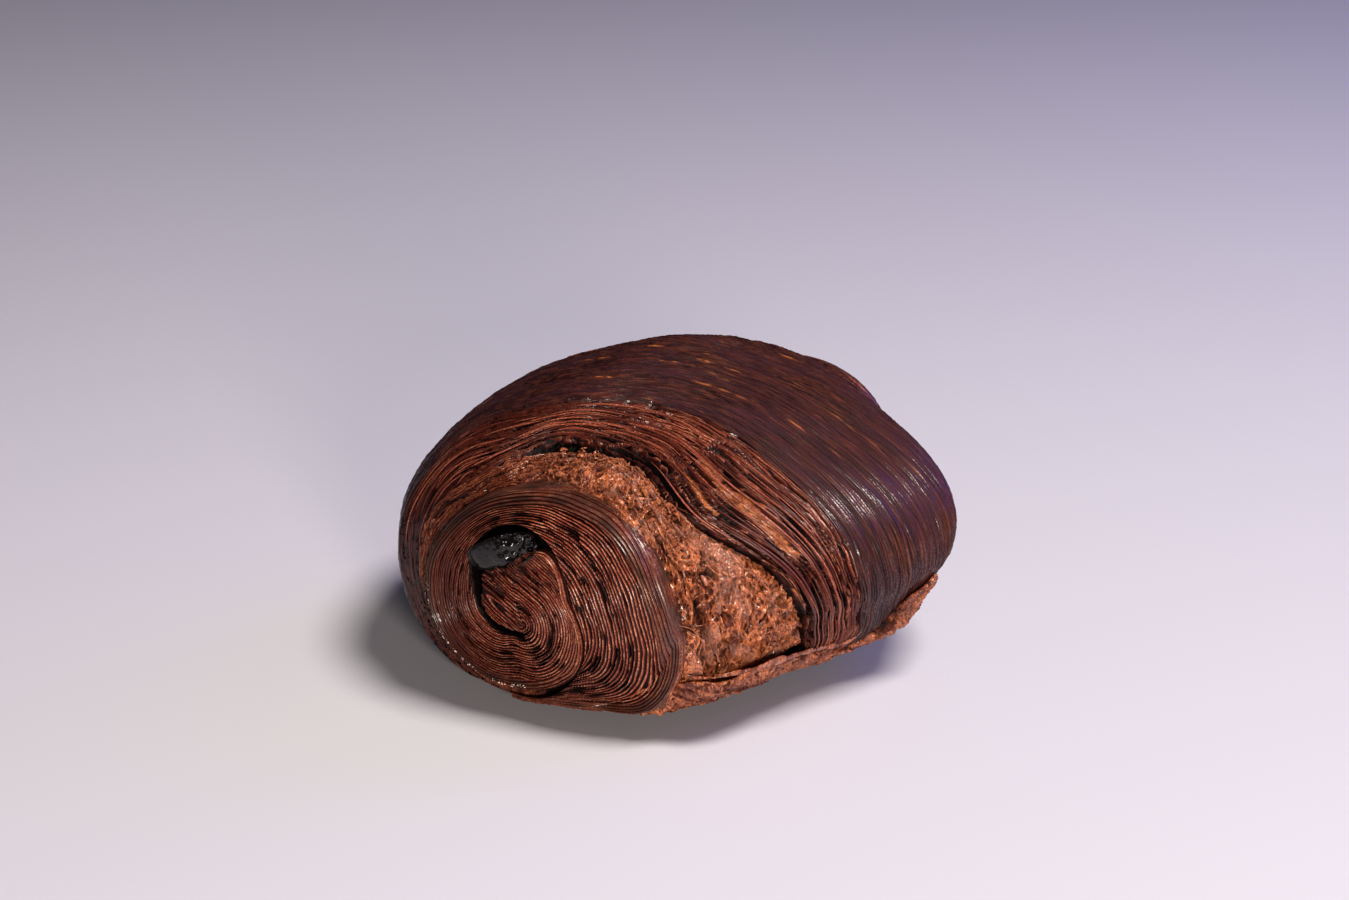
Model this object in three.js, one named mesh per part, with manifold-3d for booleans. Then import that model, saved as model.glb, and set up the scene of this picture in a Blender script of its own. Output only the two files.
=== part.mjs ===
// Pain au chocolat: a sheet of laminated dough rolled round one baton of chocolate.
// Millimetres, +Z up. The roll's axis runs along Y, with the end that shows best at -Y.
// Angles go round the roll as seen along +Y: 0 is the right flank (+X), 90 the top.

import * as THREE from 'three';
import { mergeVertices } from 'three/addons/utils/BufferGeometryUtils.js';
import Module from 'manifold-3d';

const wasm = await Module();
wasm.setup();

// Colours
const crustBrown = '#4a2a20';
const chocolateBlack = '#1d1514';

// Body: height of the middle section's centre, and that section's radii at equal steps of
// angle from the right flank
const axisHeight = 24.3;
const middleRadii = [52.2, 36.8, 27, 22.8, 21.7, 21.8, 24, 29.4, 37, 38.2, 34.2, 28, 26, 28, 34.8, 46.2];

// Rings of the body's surface, from end to end, and points in each ring
const columns = 72;
const columnStep = 360 / columns;
const crustRows = 19;
const bandRows = 6;
const crumbRows = 3;

// Fullness of the body between its end ovals (0) and its middle section (1), by place along Y
const fullness = [
  [-44.4, 0], [-40.5, 0.345], [-35, 0.51], [-27, 0.675], [-18, 0.812], [-9, 0.925], [0, 0.99],
  [8, 0.955], [16, 0.824], [24, 0.605], [31, 0.33], [36, 0.11], [38.9, 0],
];

// Relief of the crust: its step over the layered band, its ridges and its slow unevenness
const crustStep = 0.25;
const ridgeHeight = 0.28;
const bodyLump = 0.32;
const lumpPitch = 9;

// Relief of the layered band: how far it lies under the outline, its ledges, and the open
// voids between layers round one angle
const bandSink = 0.45;
const ledgeDepth = 0.9;
const voidDepth = 1.9;
const voidAngle = 38;
const voidSpread = 28;

// Relief of the crumb between the band and the roll, and the roll's step over the band
const crumbDip = 2.4;
const crumbSwell = 1.2;
const crumbLump = 0.45;
const crumbPitch = 2.6;
const rimStep = 1.7;

// The sheet's lower edge, a lip along the right flank with a groove over it and a loose flap
const lipHeight = 1.1;
const lipAngle = 334;
const lipSpread = 8;
const lipGroove = 0.9;
const flapHeight = 2.6;
const flapPlace = 3;
const flapLength = 7;

// Clearance of the rolled ends over the table, and the distance under which points are one
const tableGap = 0.35;
const weld = 0.02;

// The sheet's cut edge on an end of the roll, wound inward as one ribbon: its crust side and
// its inner side as distances from the spiral's centre, at [degrees, mm]
const ribbonStart = -100;
const ribbonEnd = 660;
const ribbonOuter = [
  [-100, 18.4], [-80, 18.6], [-60, 20.4], [-48, 23.4], [-36, 26.4], [-20, 27], [0, 25.2], [30, 22],
  [60, 17.8], [90, 15.3], [120, 14.8], [150, 15.6], [180, 18], [210, 19.4], [240, 18], [270, 15.9],
  [300, 14.5], [330, 12.8], [360, 10.2], [390, 9.8], [410, 9.2], [430, 6.3], [450, 4.2], [480, 3.9],
  [510, 4.8], [540, 5.8], [600, 6.1], [660, 5.2],
];
const ribbonInner = [
  [-100, 17.4], [-80, 17], [-45, 15.4], [-15, 12.4], [0, 11.2], [45, 11.3], [90, 10.2],
  [135, 9.4], [165, 8.2], [180, 7.4], [225, 7.3], [270, 6.8], [300, 6.2], [360, 3.6], [430, 2], [660, 2],
];

// Across the ribbon: share of its width from the crust side, and how far back from the dome.
// It starts and ends at the foot of the gap between turns
const ribbonProfile = [
  [0, 0.5], [0.07, -0.15], [0.2, 0.4], [0.42, -0.05], [0.68, 0.35], [0.93, 0.1],
];
const gapDepth = 4.4;
const gapStart = 250;
const gapFull = 330;
const gapShallow = 1.2;

// How squared the end sections are, and how flat their domes
const ovalPower = 2.1;
const domePower = 2.2;

// The two ends. oval is the end section's half sizes, bulge how far its face domes out, and
// foot, bandInner and bandOuter where the crumb, the layered band and the crust start, by angle
const nearEnd = {
  side: -1, edge: 44.4, bulge: 5.4, scale: 1, openness: 1, batonProud: 0.4,
  centre: { x: 9.9, z: 21 },
  oval: { right: 25.9, left: 21.6, top: 15.7, bottom: 18.4 },
  foot: [41, 41, 41, 41, 41.5, 44, 46, 46.6, 46.6, 46.4, 46.2, 46.2, 45.6, 43.5, 41.6, 41],
  bandInner: [31, 37.2, 32.6, 33.4, 36, 42.6, 45, 45.6, 45.6, 45.4, 45.2, 45.2, 44.4, 42.2, 38, 26],
  bandOuter: [17, 16.4, 16.6, 20, 24.8, 26.6, 28, 35.4, 39.4, 40.6, 40.6, 40, 39.4, 37, 30, 10],
};
const farEnd = {
  side: 1, edge: 38.9, bulge: 7.6, scale: 0.8, openness: 0.3, batonProud: -1.8,
  centre: { x: 0.6, z: 23.7 },
  oval: { right: 19.6, left: 18.6, top: 13, bottom: 16.2 },
  foot: [37, 37.4, 37.6, 38, 39, 40, 41, 41.6, 41.8, 41.6, 41.4, 41, 40.4, 39.4, 38, 37.4],
  bandInner: [33, 34.4, 34, 34.4, 35, 37.4, 39.4, 40.2, 40.4, 40.2, 40, 39.6, 38.8, 37.6, 35.4, 33],
  bandOuter: [25, 26, 26.4, 26, 25, 25, 26, 29, 32, 34, 34.6, 34, 33, 31, 28.6, 26],
};

// Chocolate baton: a flat bar with rounded corners, lying over the roll's core
const batonWidth = 12.4;
const batonThickness = 4.6;
const batonCorner = 1.7;
const batonTilt = 21;
const batonRise = 6.1;
const batonSlide = -1.7;
const batonSlack = 0.3;
const batonOvershoot = 6;
const batonSteps = 6;

const degrees = Math.PI / 180;
const lerp = THREE.MathUtils.lerp;
const alongRoll = new THREE.Vector3(0, 1, 0);

function catmull(a, b, c, d, t) {
  return b + 0.5 * t * (c - a + t * (2 * a - 5 * b + 4 * c - d + t * (3 * (b - c) + d - a)));
}

// Value at an angle, on a smooth closed curve through values at equal steps
function around(values, angle) {
  const count = values.length;
  const place = THREE.MathUtils.euclideanModulo(angle / 360 * count, count);
  const start = Math.floor(place);
  const at = (step) => values[(start + step + count) % count];
  return catmull(at(-1), at(0), at(1), at(2), place - start);
}

// Value at x, on a smooth open curve through [x, value] knots
function along(knots, x) {
  const last = knots.length - 1;
  const clamped = THREE.MathUtils.clamp(x, knots[0][0], knots[last][0]);
  let i = 0;
  while (i < last - 1 && clamped > knots[i + 1][0]) i += 1;
  const knot = (k) => knots[THREE.MathUtils.clamp(k, 0, last)];
  const [before, here, next, after] = [knot(i - 1), knot(i), knot(i + 1), knot(i + 2)];
  const span = next[0] - here[0];
  const t = (clamped - here[0]) / span;
  const slopeHere = (next[1] - before[1]) / (next[0] - before[0]) * span;
  const slopeNext = (after[1] - here[1]) / (after[0] - here[0]) * span;
  const rise = next[1] - here[1];
  const square = 3 * rise - 2 * slopeHere - slopeNext;
  const cube = slopeHere + slopeNext - 2 * rise;
  return here[1] + t * (slopeHere + t * (square + t * cube));
}

function bump(distance, width) {
  return Math.exp(-((distance / width) ** 2));
}

// Slow unevenness of baked dough, about -1 to 1
function lumps(angle, y, pitch) {
  const a = angle * degrees;
  const b = y / pitch;
  return (Math.sin(3 * a + b) + Math.sin(5 * a - 1.7 * b + 1.3) + Math.sin(2 * a + 2.3 * b + 4)) / 3;
}

// Radius of an end's section, a slightly squared oval
function ovalRadius(end, angle) {
  const c = Math.cos(angle * degrees);
  const s = Math.sin(angle * degrees);
  const across = c > 0 ? end.oval.right : end.oval.left;
  const up = s > 0 ? end.oval.top : end.oval.bottom;
  return (Math.abs(c / across) ** ovalPower + Math.abs(s / up) ** ovalPower) ** (-1 / ovalPower);
}

// Height of the domed end face beyond its edge, by distance from the centre over the oval's
function dome(end, share) {
  return end.bulge * Math.sqrt(Math.max(0, 1 - Math.min(share, 1) ** domePower));
}

// A point of the baked outline, raised by lift: the wrap between the ends, and past an end's
// edge the dome
function skin(y, angle, lift) {
  const end = y < 0 ? nearEnd : farEnd;
  const beyond = Math.abs(y) - end.edge;
  let radius;
  let centre = end.centre;
  if (beyond > 0) {
    const bulge = end.bulge - rimStep;
    radius = ovalRadius(end, angle) * Math.max(0, 1 - (beyond / bulge) ** 2) ** (1 / domePower);
  } else {
    const oval = ovalRadius(end, angle);
    radius = oval + (around(middleRadii, angle) - oval) * along(fullness, y);
    const reach = (y / end.edge) ** 2;
    centre = { x: end.centre.x * reach, z: lerp(axisHeight, end.centre.z, reach) };
  }
  const a = angle * degrees;
  const x = centre.x + (radius + lift) * Math.cos(a);
  const z = centre.z + (radius + lift) * Math.sin(a);
  return new THREE.Vector3(x, y, Math.max(z, 0));
}

// Height of the lip, with its groove
function lip(angle, y) {
  const turn = THREE.MathUtils.euclideanModulo(angle, 360) - lipAngle;
  const height = lipHeight + flapHeight * bump(y - flapPlace, flapLength);
  return height * bump(turn, lipSpread) - lipGroove * bump(turn - 1.6 * lipSpread, 0.6 * lipSpread);
}

function surfaceLift(angle, y) {
  return bodyLump * lumps(angle, y, lumpPitch) + lip(angle, y);
}

// A point of an end's rolled face, by distance and angle wound inward. back moves it in
function facePoint(end, radius, angle, back) {
  const reach = radius * end.scale;
  const y = end.side * (end.edge + dome(end, reach / ovalRadius(end, angle)) - back);
  const x = end.centre.x + reach * Math.cos(angle * degrees);
  const z = end.centre.z + reach * Math.sin(angle * degrees);
  return new THREE.Vector3(x, y, Math.max(z, tableGap));
}

// Foot of the rolled end, where it stands out of the crumb
function footPoint(end, angle) {
  const wound = THREE.MathUtils.euclideanModulo(angle - ribbonStart, 360) + ribbonStart;
  const point = facePoint(end, along(ribbonOuter, wound), angle, 0);
  point.y = end.side * around(end.foot, angle);
  return point;
}

// The end's rows, from the crumb round the roll out to the start of the crust
function endRows(end) {
  const rows = [];
  for (let k = 1; k <= crumbRows; k++) {
    const t = k / crumbRows;
    rows.push((angle) => {
      const foot = footPoint(end, angle);
      const inner = around(end.bandInner, angle);
      const open = THREE.MathUtils.smoothstep(around(end.foot, angle) - inner, 1.5, 6);
      const lift = 0.4 * surfaceLift(angle, end.side * inner) - crumbDip * open;
      const point = foot.lerp(skin(end.side * inner, angle, lift), t);
      const rough = crumbLump * lumps(angle * 3, point.y, crumbPitch) * (1 - t);
      const swell = open * (crumbSwell * Math.sin(Math.PI * t) + rough);
      point.x += swell * Math.cos(angle * degrees);
      point.z = Math.max(point.z + swell * Math.sin(angle * degrees), 0);
      return point;
    });
  }
  for (let k = 0; k <= bandRows; k++) {
    const t = k / bandRows;
    rows.push((angle) => {
      const inner = around(end.bandInner, angle) - 0.25;
      const y = end.side * lerp(inner, around(end.bandOuter, angle), t);
      const open = end.openness * bump(angle - voidAngle, voidSpread) * bump(t - 0.25, 0.35);
      const groove = k % 2 ? ledgeDepth + voidDepth * open : 0;
      return skin(y, angle, surfaceLift(angle, y) - bandSink - groove);
    });
  }
  return rows;
}

function crustPoint(k) {
  const t = k / crustRows;
  return (angle) => {
    const y = lerp(-around(nearEnd.bandOuter, angle), around(farEnd.bandOuter, angle), t);
    const ridge = ridgeHeight * (k % 2 ? -1 : 1);
    return skin(y, angle, surfaceLift(angle, y) + crustStep + ridge);
  };
}

// Points and faces of one closed surface
const points = [];
const faces = [];

function addRow(row) {
  const first = points.length;
  points.push(...row);
  return row.map((_, k) => first + k);
}

// Face of three or more corners, as a fan, counter-clockwise as seen from outside
function addFace(corners, flip) {
  const ordered = flip ? [...corners].reverse() : corners;
  for (let k = 1; k + 1 < ordered.length; k++) faces.push(ordered[0], ordered[k], ordered[k + 1]);
}

// One end's ribbon, stitched to itself turn by turn, to the body's first ring and to a pole
function addRibbon(end, ring) {
  const flip = end.side > 0;
  const steps = Math.round((ribbonEnd - ribbonStart) / columnStep);
  const rows = [];
  for (let i = 0; i <= steps; i++) {
    const angle = ribbonStart + i * columnStep;
    const outer = along(ribbonOuter, angle);
    const inner = along(ribbonInner, angle);
    const depth = gapShallow + gapDepth * THREE.MathUtils.smoothstep(angle, gapStart, gapFull);
    const first = i < columns ? footPoint(end, angle) : facePoint(end, outer, angle, depth);
    const at = ([share, back]) => facePoint(end, lerp(outer, inner, share), angle, back);
    const last = facePoint(end, inner, angle, i > steps - columns ? 0.2 : gapDepth);
    rows.push(addRow([first, ...ribbonProfile.map(at), last]));
  }
  const across = rows[0].length - 1;
  for (let i = 0; i < steps; i++) {
    for (let j = 0; j < across; j++) {
      addFace([rows[i][j + 1], rows[i][j], rows[i + 1][j], rows[i + 1][j + 1]], flip);
    }
    const turn = i + columns;
    if (turn < steps) addFace([rows[turn][0], rows[i][across], rows[i + 1][across], rows[turn + 1][0]], flip);
    if (i < columns - 1) addFace([rows[i][0], ring[i], ring[i + 1], rows[i + 1][0]], flip);
  }
  addFace([rows[columns - 1][0], ring[columns - 1], ring[0], ...rows[0], rows[columns][0]], flip);
  const loop = rows.slice(steps - columns).map((row) => row[across]);
  loop.push(...rows[steps].slice(0, across).reverse());
  const [pole] = addRow([facePoint(end, 0.3, ribbonEnd + 60, 0.3)]);
  loop.forEach((corner, k) => addFace([pole, corner, loop[(k + 1) % loop.length]], flip));
}

function bodySolid() {
  const rings = [...endRows(nearEnd)];
  for (let k = 0; k <= crustRows; k++) rings.push(crustPoint(k));
  rings.push(...endRows(farEnd).reverse());
  const rows = rings.map((ring) => {
    const row = [];
    for (let k = 0; k < columns; k++) row.push(ring(ribbonStart + k * columnStep));
    return addRow(row);
  });
  for (let i = 0; i + 1 < rows.length; i++) {
    for (let k = 0; k < columns; k++) {
      const next = (k + 1) % columns;
      addFace([rows[i][k], rows[i + 1][k], rows[i + 1][next], rows[i][next]], false);
    }
  }
  addRibbon(nearEnd, rows[0]);
  addRibbon(farEnd, rows[rows.length - 1]);
  const geometry = new THREE.BufferGeometry().setFromPoints(points);
  geometry.setIndex(faces);
  return toManifold(geometry);
}

function toManifold(geometry) {
  const bare = geometry.clone();
  bare.deleteAttribute('normal');
  bare.deleteAttribute('uv');
  const merged = mergeVertices(bare, 1e-5);
  const triVerts = Uint32Array.from(merged.index.array);
  const vertProperties = Float32Array.from(merged.attributes.position.array);
  let solid = new wasm.Manifold(new wasm.Mesh({ numProp: 3, vertProperties, triVerts }));
  if (solid.volume() < 0) {
    for (let i = 0; i < triVerts.length; i += 3) {
      [triVerts[i + 1], triVerts[i + 2]] = [triVerts[i + 2], triVerts[i + 1]];
    }
    solid = new wasm.Manifold(new wasm.Mesh({ numProp: 3, vertProperties, triVerts }));
  }
  return solid;
}

// Geometry of a solid, with points closer than the weld made one and the faces they held dropped
function toGeometry(solid) {
  const { vertProperties, triVerts } = solid.getMesh();
  const rough = new THREE.BufferGeometry();
  const positions = Float32Array.from(vertProperties, (value) => Math.round(value / weld) * weld);
  rough.setAttribute('position', new THREE.BufferAttribute(positions, 3));
  rough.setIndex(new THREE.BufferAttribute(Uint32Array.from(triVerts), 1));
  const geometry = mergeVertices(rough, weld / 4);
  const kept = [];
  for (let i = 0; i < geometry.index.count; i += 3) {
    const [a, b, c] = [0, 1, 2].map((k) => geometry.index.getX(i + k));
    if (a !== b && b !== c && c !== a) kept.push(a, b, c);
  }
  geometry.setIndex(kept);
  geometry.computeVertexNormals();
  return geometry;
}

// Rounded rectangle across the roll, grown by slack all round
function batonSection(slack) {
  const width = batonWidth / 2 + slack;
  const height = batonThickness / 2 + slack;
  const corner = batonCorner + slack;
  const shape = new THREE.Shape();
  shape.moveTo(width - corner, -height);
  shape.absarc(width - corner, -height + corner, corner, -Math.PI / 2, 0);
  shape.absarc(width - corner, height - corner, corner, 0, Math.PI / 2);
  shape.absarc(-width + corner, height - corner, corner, Math.PI / 2, Math.PI);
  shape.absarc(-width + corner, -height + corner, corner, Math.PI, Math.PI * 1.5);
  return shape;
}

// Bar from end to end of the roll, through the same place over each core
function batonBar(slack, overshoot) {
  const place = (end) => new THREE.Vector3(
    end.centre.x + batonSlide * end.scale,
    end.side * (end.edge + end.bulge + end.batonProud),
    end.centre.z + batonRise * end.scale,
  );
  const reach = new THREE.Vector3().subVectors(place(farEnd), place(nearEnd));
  const beyond = reach.clone().setLength(overshoot);
  const start = place(nearEnd).sub(beyond);
  const finish = place(farEnd).add(beyond);
  const geometry = new THREE.ExtrudeGeometry(batonSection(slack), {
    depth: 1, steps: batonSteps, bevelEnabled: false, curveSegments: 5,
  });
  const position = geometry.attributes.position;
  const point = new THREE.Vector3();
  for (let i = 0; i < position.count; i++) {
    const [x, z] = [position.getX(i), position.getY(i)];
    const middle = new THREE.Vector3().lerpVectors(start, finish, position.getZ(i));
    point.set(x, 0, z).applyAxisAngle(alongRoll, -batonTilt * degrees).add(middle);
    position.setXYZ(i, point.x, point.y, point.z);
  }
  return toManifold(geometry);
}

function pastrySolid() {
  return bodySolid().subtract(batonBar(batonSlack, batonOvershoot));
}

function makeMesh(name, solid, material) {
  const mesh = new THREE.Mesh(toGeometry(solid), material);
  mesh.name = name;
  return mesh;
}

const crust = new THREE.MeshStandardMaterial({ color: crustBrown, roughness: 0.5, metalness: 0 });
const chocolate = new THREE.MeshStandardMaterial({ color: chocolateBlack, roughness: 0.35, metalness: 0 });

const pain = new THREE.Group();
pain.add(makeMesh('pastry', pastrySolid(), crust));
pain.add(makeMesh('chocolate_baton', batonBar(0, 0), chocolate));

// The origin is the middle of the base
const box = new THREE.Box3().setFromObject(pain);
pain.position.set(-(box.min.x + box.max.x) / 2, -(box.min.y + box.max.y) / 2, -box.min.z);

export default pain;
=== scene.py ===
import itertools
import math

import bmesh
import bpy
import numpy as np
from mathutils import Matrix, Vector


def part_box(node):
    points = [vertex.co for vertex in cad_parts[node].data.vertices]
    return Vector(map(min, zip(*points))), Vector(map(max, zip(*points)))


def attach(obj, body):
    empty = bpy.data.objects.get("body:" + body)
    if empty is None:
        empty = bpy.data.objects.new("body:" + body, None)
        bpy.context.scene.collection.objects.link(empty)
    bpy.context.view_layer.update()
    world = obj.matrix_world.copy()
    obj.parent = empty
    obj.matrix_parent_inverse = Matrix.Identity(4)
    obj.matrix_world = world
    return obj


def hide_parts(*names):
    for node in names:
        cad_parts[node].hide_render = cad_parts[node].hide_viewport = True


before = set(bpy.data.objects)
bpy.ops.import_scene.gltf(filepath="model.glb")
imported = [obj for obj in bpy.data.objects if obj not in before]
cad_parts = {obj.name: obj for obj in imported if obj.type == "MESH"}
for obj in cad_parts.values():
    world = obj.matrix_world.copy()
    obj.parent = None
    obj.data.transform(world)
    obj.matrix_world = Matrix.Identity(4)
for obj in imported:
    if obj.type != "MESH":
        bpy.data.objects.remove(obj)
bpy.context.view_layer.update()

# A pain au chocolat: laminated dough rolled round one baton of chocolate.
# Shapes are worked out in millimetres, in the roll's own frame: the axis runs along y, the end that
# shows best is at -y, and angles go round as seen along +y, 0 at the right flank and 90 at the top.
# A pair named for an effect, such as "tuckGrows", is where it starts and where it is full.

mm = 0.001  # in metres
weldGap = 2e-6  # in metres: borders closer than this are merged

roll = {
    "seam": -100,  # angle where every piece's columns start, out of sight under the roll
    "axisHeight": 24.3,  # height of the middle section's centre
    "middleRadii": [52.2, 36.8, 27, 22.8, 21.7, 21.8, 24, 29.4, 37, 38.2, 34.2, 28, 26, 28, 34.8, 46.2],
    # y, and how far the section has grown there from the end's oval to the middle one
    "fullness": [(-44.4, 0), (-40.5, 0.345), (-35, 0.51), (-27, 0.675), (-18, 0.812), (-9, 0.925),
                 (0, 0.99), (8, 0.955), (16, 0.824), (24, 0.605), (31, 0.33), (36, 0.11), (38.9, 0)],
    "ovalPower": 2.1,  # how squared the end sections are
    "domePower": 2.2,  # how flat the end faces are
    "rimStep": 1.7,  # how far the crust's tip stays behind the dome's
    # slow unevenness of the wrap; waves round, slant and start of each
    "bodyLump": 0.32, "lumpPitch": 9, "lumpWaves": [(3, 1, 0), (5, -1.7, 1.3), (2, 2.3, 4)],
    # the sheet's lower edge, on the right flank, with a groove over it and a flap
    "lipAngle": 339, "lipSpread": 6, "lipHeight": 0.5,
    "grooveDepth": 0.7, "grooveAside": 1.6, "grooveSpread": 0.6,  # the last two in spreads of the lip
    "flapPlace": 0, "flapLength": 6, "flapHeight": 0.9,
    # y and angle of the flank's edge, which is drawn in below it
    "flankEdge": [(-46, 322), (-40, 327), (-37.7, 332), (-32, 337), (-17, 336), (-10, 338), (-4, 342),
                  (1, 345), (7, 345), (16, 338), (39, 334)],
    "tuck": 1.2, "tuckGrows": (0, 14), "tuckFades": (75, 45), "tuckAlong": (-43, -37),
    "crumbDip": 2.4,  # how far the crumb lies under the outline
    "crumbSwell": 1.2,
    "floorGap": 0.35,
}
# Each end. Its oval reaches right, left, up and down from its centre. The crumb's foot and the band's
# two edges are distances along the axis at equal steps of angle.
nearEnd = {
    "side": -1, "edge": 44.4, "bulge": 5.4, "scale": 1,
    "centre": (9.9, 21), "oval": (25.9, 21.6, 15.7, 18.4),
    "foot": [41, 41, 41, 41, 41.5, 44, 46, 46.6, 46.6, 46.4, 46.2, 46.2, 45.6, 43.5, 41.6, 41],
    "bandInner": [30, 37.2, 32.6, 33.4, 36, 42.6, 45, 45.6, 45.6, 45.4, 45.2, 45.2, 44.4, 42.2, 36, 20.5],
    "bandOuter": [17, 16.4, 16.6, 20, 24.8, 26.6, 28, 35.4, 39.4, 40.6, 40.6, 40, 39.4, 37, 30, 10],
}
farEnd = {
    "side": 1, "edge": 38.9, "bulge": 7.6, "scale": 0.8,
    "centre": (0.6, 23.7), "oval": (19.6, 18.6, 13, 16.2),
    "foot": [37, 37.4, 37.6, 38, 39, 40, 41, 41.6, 41.8, 41.6, 41.4, 41, 40.4, 39.4, 38, 37.4],
    "bandInner": [33, 34.4, 34, 34.4, 35, 37.4, 39.4, 40.2, 40.4, 40.2, 40, 39.6, 38.8, 37.6, 35.4, 33],
    "bandOuter": [31.5, 33.5, 35.2, 36.4, 36, 34.5, 33, 32, 32, 34, 34.6, 34, 33, 31, 28.6, 28],
}
baton = {
    "width": 12.4, "thickness": 4.6, "tilt": 21, "rise": 6.1, "slide": -1.7,
    "proud": {-1: 0.4, 1: -1.8},  # past the top of each end's dome
    "columns": 132, "rows": 300, "capShare": 0.14,  # of the rows, at each end
    "fuller": 1.02, "cornerPowers": (2.3, 2.8),  # rounder to the left
    "capPower": 0.8, "edgePower": 6, "edgePull": 0.7,  # how the cut face rounds over to the sides
    "melt": 1.1, "meltGrows": (-1, 2.5), "meltCaps": 1.6,  # sags outwards on the right of the near cap
    "blob": 0.35, "blobPitch": 2.4,  # melted unevenness
    "bubble": 0.45, "bubblePitch": 0.55, "bubbleAll": 0.2, "bubbleMelted": 1.2,
    "pushAside": 0.4, "pushOut": 0.7,
    "bloomFades": (-1.6, 0), "bloomWander": 0.8, "bloomCaps": 1.1, "farBloom": 0.6,
}


def batonPlace(end):
    centreX, centreZ = end["centre"]
    y = end["side"] * (end["edge"] + end["bulge"] + baton["proud"][end["side"]])
    return np.array([centreX + baton["slide"] * end["scale"], y, centreZ + baton["rise"] * end["scale"]])


# From the roll's frame to the model's, by the chocolate's place in both
batonLow, batonHigh = (np.array(corner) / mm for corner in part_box("chocolate_baton"))
offset = (batonLow + batonHigh) / 2 - (batonPlace(nearEnd) + batonPlace(farEnd)) / 2
offset[2] = 0
print("roll frame offset, mm:", offset.round(2))


# Numbers that vary smoothly

noiseTable = np.random.default_rng(5).random(4096)
cellPrimes = (73856093, 19349663, 83492791)  # mix a cell's place into one number


def noise(x, y, z, seed=0):  # -1 to 1, one cell for each unit
    cells = [np.floor(c).astype(np.int64) for c in (x, y, z)]
    parts = [c - cell for c, cell in zip((x, y, z), cells)]
    eased = [p * p * (3 - 2 * p) for p in parts]
    total = 0
    for corner in itertools.product((0, 1), repeat=3):
        weight = 1
        key = np.int64(seed * 7919)
        for cell, part, step, prime in zip(cells, eased, corner, cellPrimes):
            weight = weight * (part if step else 1 - part)
            key = key ^ ((cell + step) * prime)
        total = total + weight * noiseTable[key & (len(noiseTable) - 1)]
    return total * 2 - 1


def smoothStep(low, high, x):
    t = np.clip((x - low) / (high - low), 0, 1)
    return t * t * (3 - 2 * t)


def bump(distance, width):
    return np.exp(-(distance / width) ** 2)


def unit(vectors):
    return vectors / np.maximum(np.linalg.norm(vectors, axis=1), 1e-9)[:, None]


def turnFrom(place, angle):  # -180 to 180
    return (angle - place + 180) % 360 - 180


def fromSeam(angle):  # the same angle, counted on from the seam
    return (angle - roll["seam"]) % 360 + roll["seam"]


def around(values, angle):  # smooth closed curve through values at equal steps of angle
    values = np.array(values, float)
    place = np.asarray(angle) % 360 / 360 * len(values)
    start = np.floor(place).astype(int)
    t = place - start
    a, b, c, d = (values[(start + step) % len(values)] for step in (-1, 0, 1, 2))
    return b + 0.5 * t * (c - a + t * (2 * a - 5 * b + 4 * c - d + t * (3 * (b - c) + d - a)))


def along(knots, x):  # smooth open curve through (x, value) knots
    places, values = np.array(knots, float).T
    last = len(places) - 1
    x = np.clip(x, places[0], places[-1])
    i = np.clip(np.searchsorted(places, x) - 1, 0, last - 1)
    before, after = np.maximum(i - 1, 0), np.minimum(i + 2, last)
    span = places[i + 1] - places[i]
    t = (x - places[i]) / span
    here, there = values[i], values[i + 1]
    slopeHere = (there - values[before]) / (places[i + 1] - places[before]) * span
    slopeThere = (values[after] - here) / (places[after] - places[i]) * span
    rise = there - here
    square = 3 * rise - 2 * slopeHere - slopeThere
    return here + t * (slopeHere + t * (square + t * (slopeHere + slopeThere - 2 * rise)))


def straightAlong(knots, x):  # straight lines through (x, value) knots
    return np.interp(x, *np.array(knots, float).T)


# The roll's outline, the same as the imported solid's

def lumps(angle, y):
    a, b = np.radians(angle), y / roll["lumpPitch"]
    waves = [np.sin(turns * a + slant * b + start) for turns, slant, start in roll["lumpWaves"]]
    return sum(waves) / len(waves)


def ovalRadius(end, angle):
    c, s = np.cos(np.radians(angle)), np.sin(np.radians(angle))
    right, left, top, bottom = end["oval"]
    power = roll["ovalPower"]
    across, up = np.where(c > 0, right, left), np.where(s > 0, top, bottom)
    return (np.abs(c / across) ** power + np.abs(s / up) ** power) ** (-1 / power)


def dome(end, share):
    return end["bulge"] * np.sqrt(1 - np.minimum(share, 1) ** roll["domePower"])


def endSkin(end, y, angle, lift):
    oval = ovalRadius(end, angle)
    body = oval + (around(roll["middleRadii"], angle) - oval) * along(roll["fullness"], y)
    beyond = np.maximum(np.abs(y) - end["edge"], 0) / (end["bulge"] - roll["rimStep"])
    tip = oval * np.maximum(0, 1 - beyond ** 2) ** (1 / roll["domePower"])
    radius = np.where(beyond > 0, tip, body) + lift
    reach = np.minimum((y / end["edge"]) ** 2, 1)
    centreX = end["centre"][0] * reach
    centreZ = roll["axisHeight"] + (end["centre"][1] - roll["axisHeight"]) * reach
    a = np.radians(angle)
    return np.stack([centreX + radius * np.cos(a), y, centreZ + radius * np.sin(a)], -1)


def skin(y, angle, lift, ground=0):  # points on the outline, lifted, and never below the ground
    near = endSkin(nearEnd, np.minimum(y, 0), angle, lift)
    far = endSkin(farEnd, np.maximum(y, 0), angle, lift)
    points = np.where((y < 0)[:, None], near, far)
    points[:, 2] = np.maximum(points[:, 2], ground)
    return points


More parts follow.
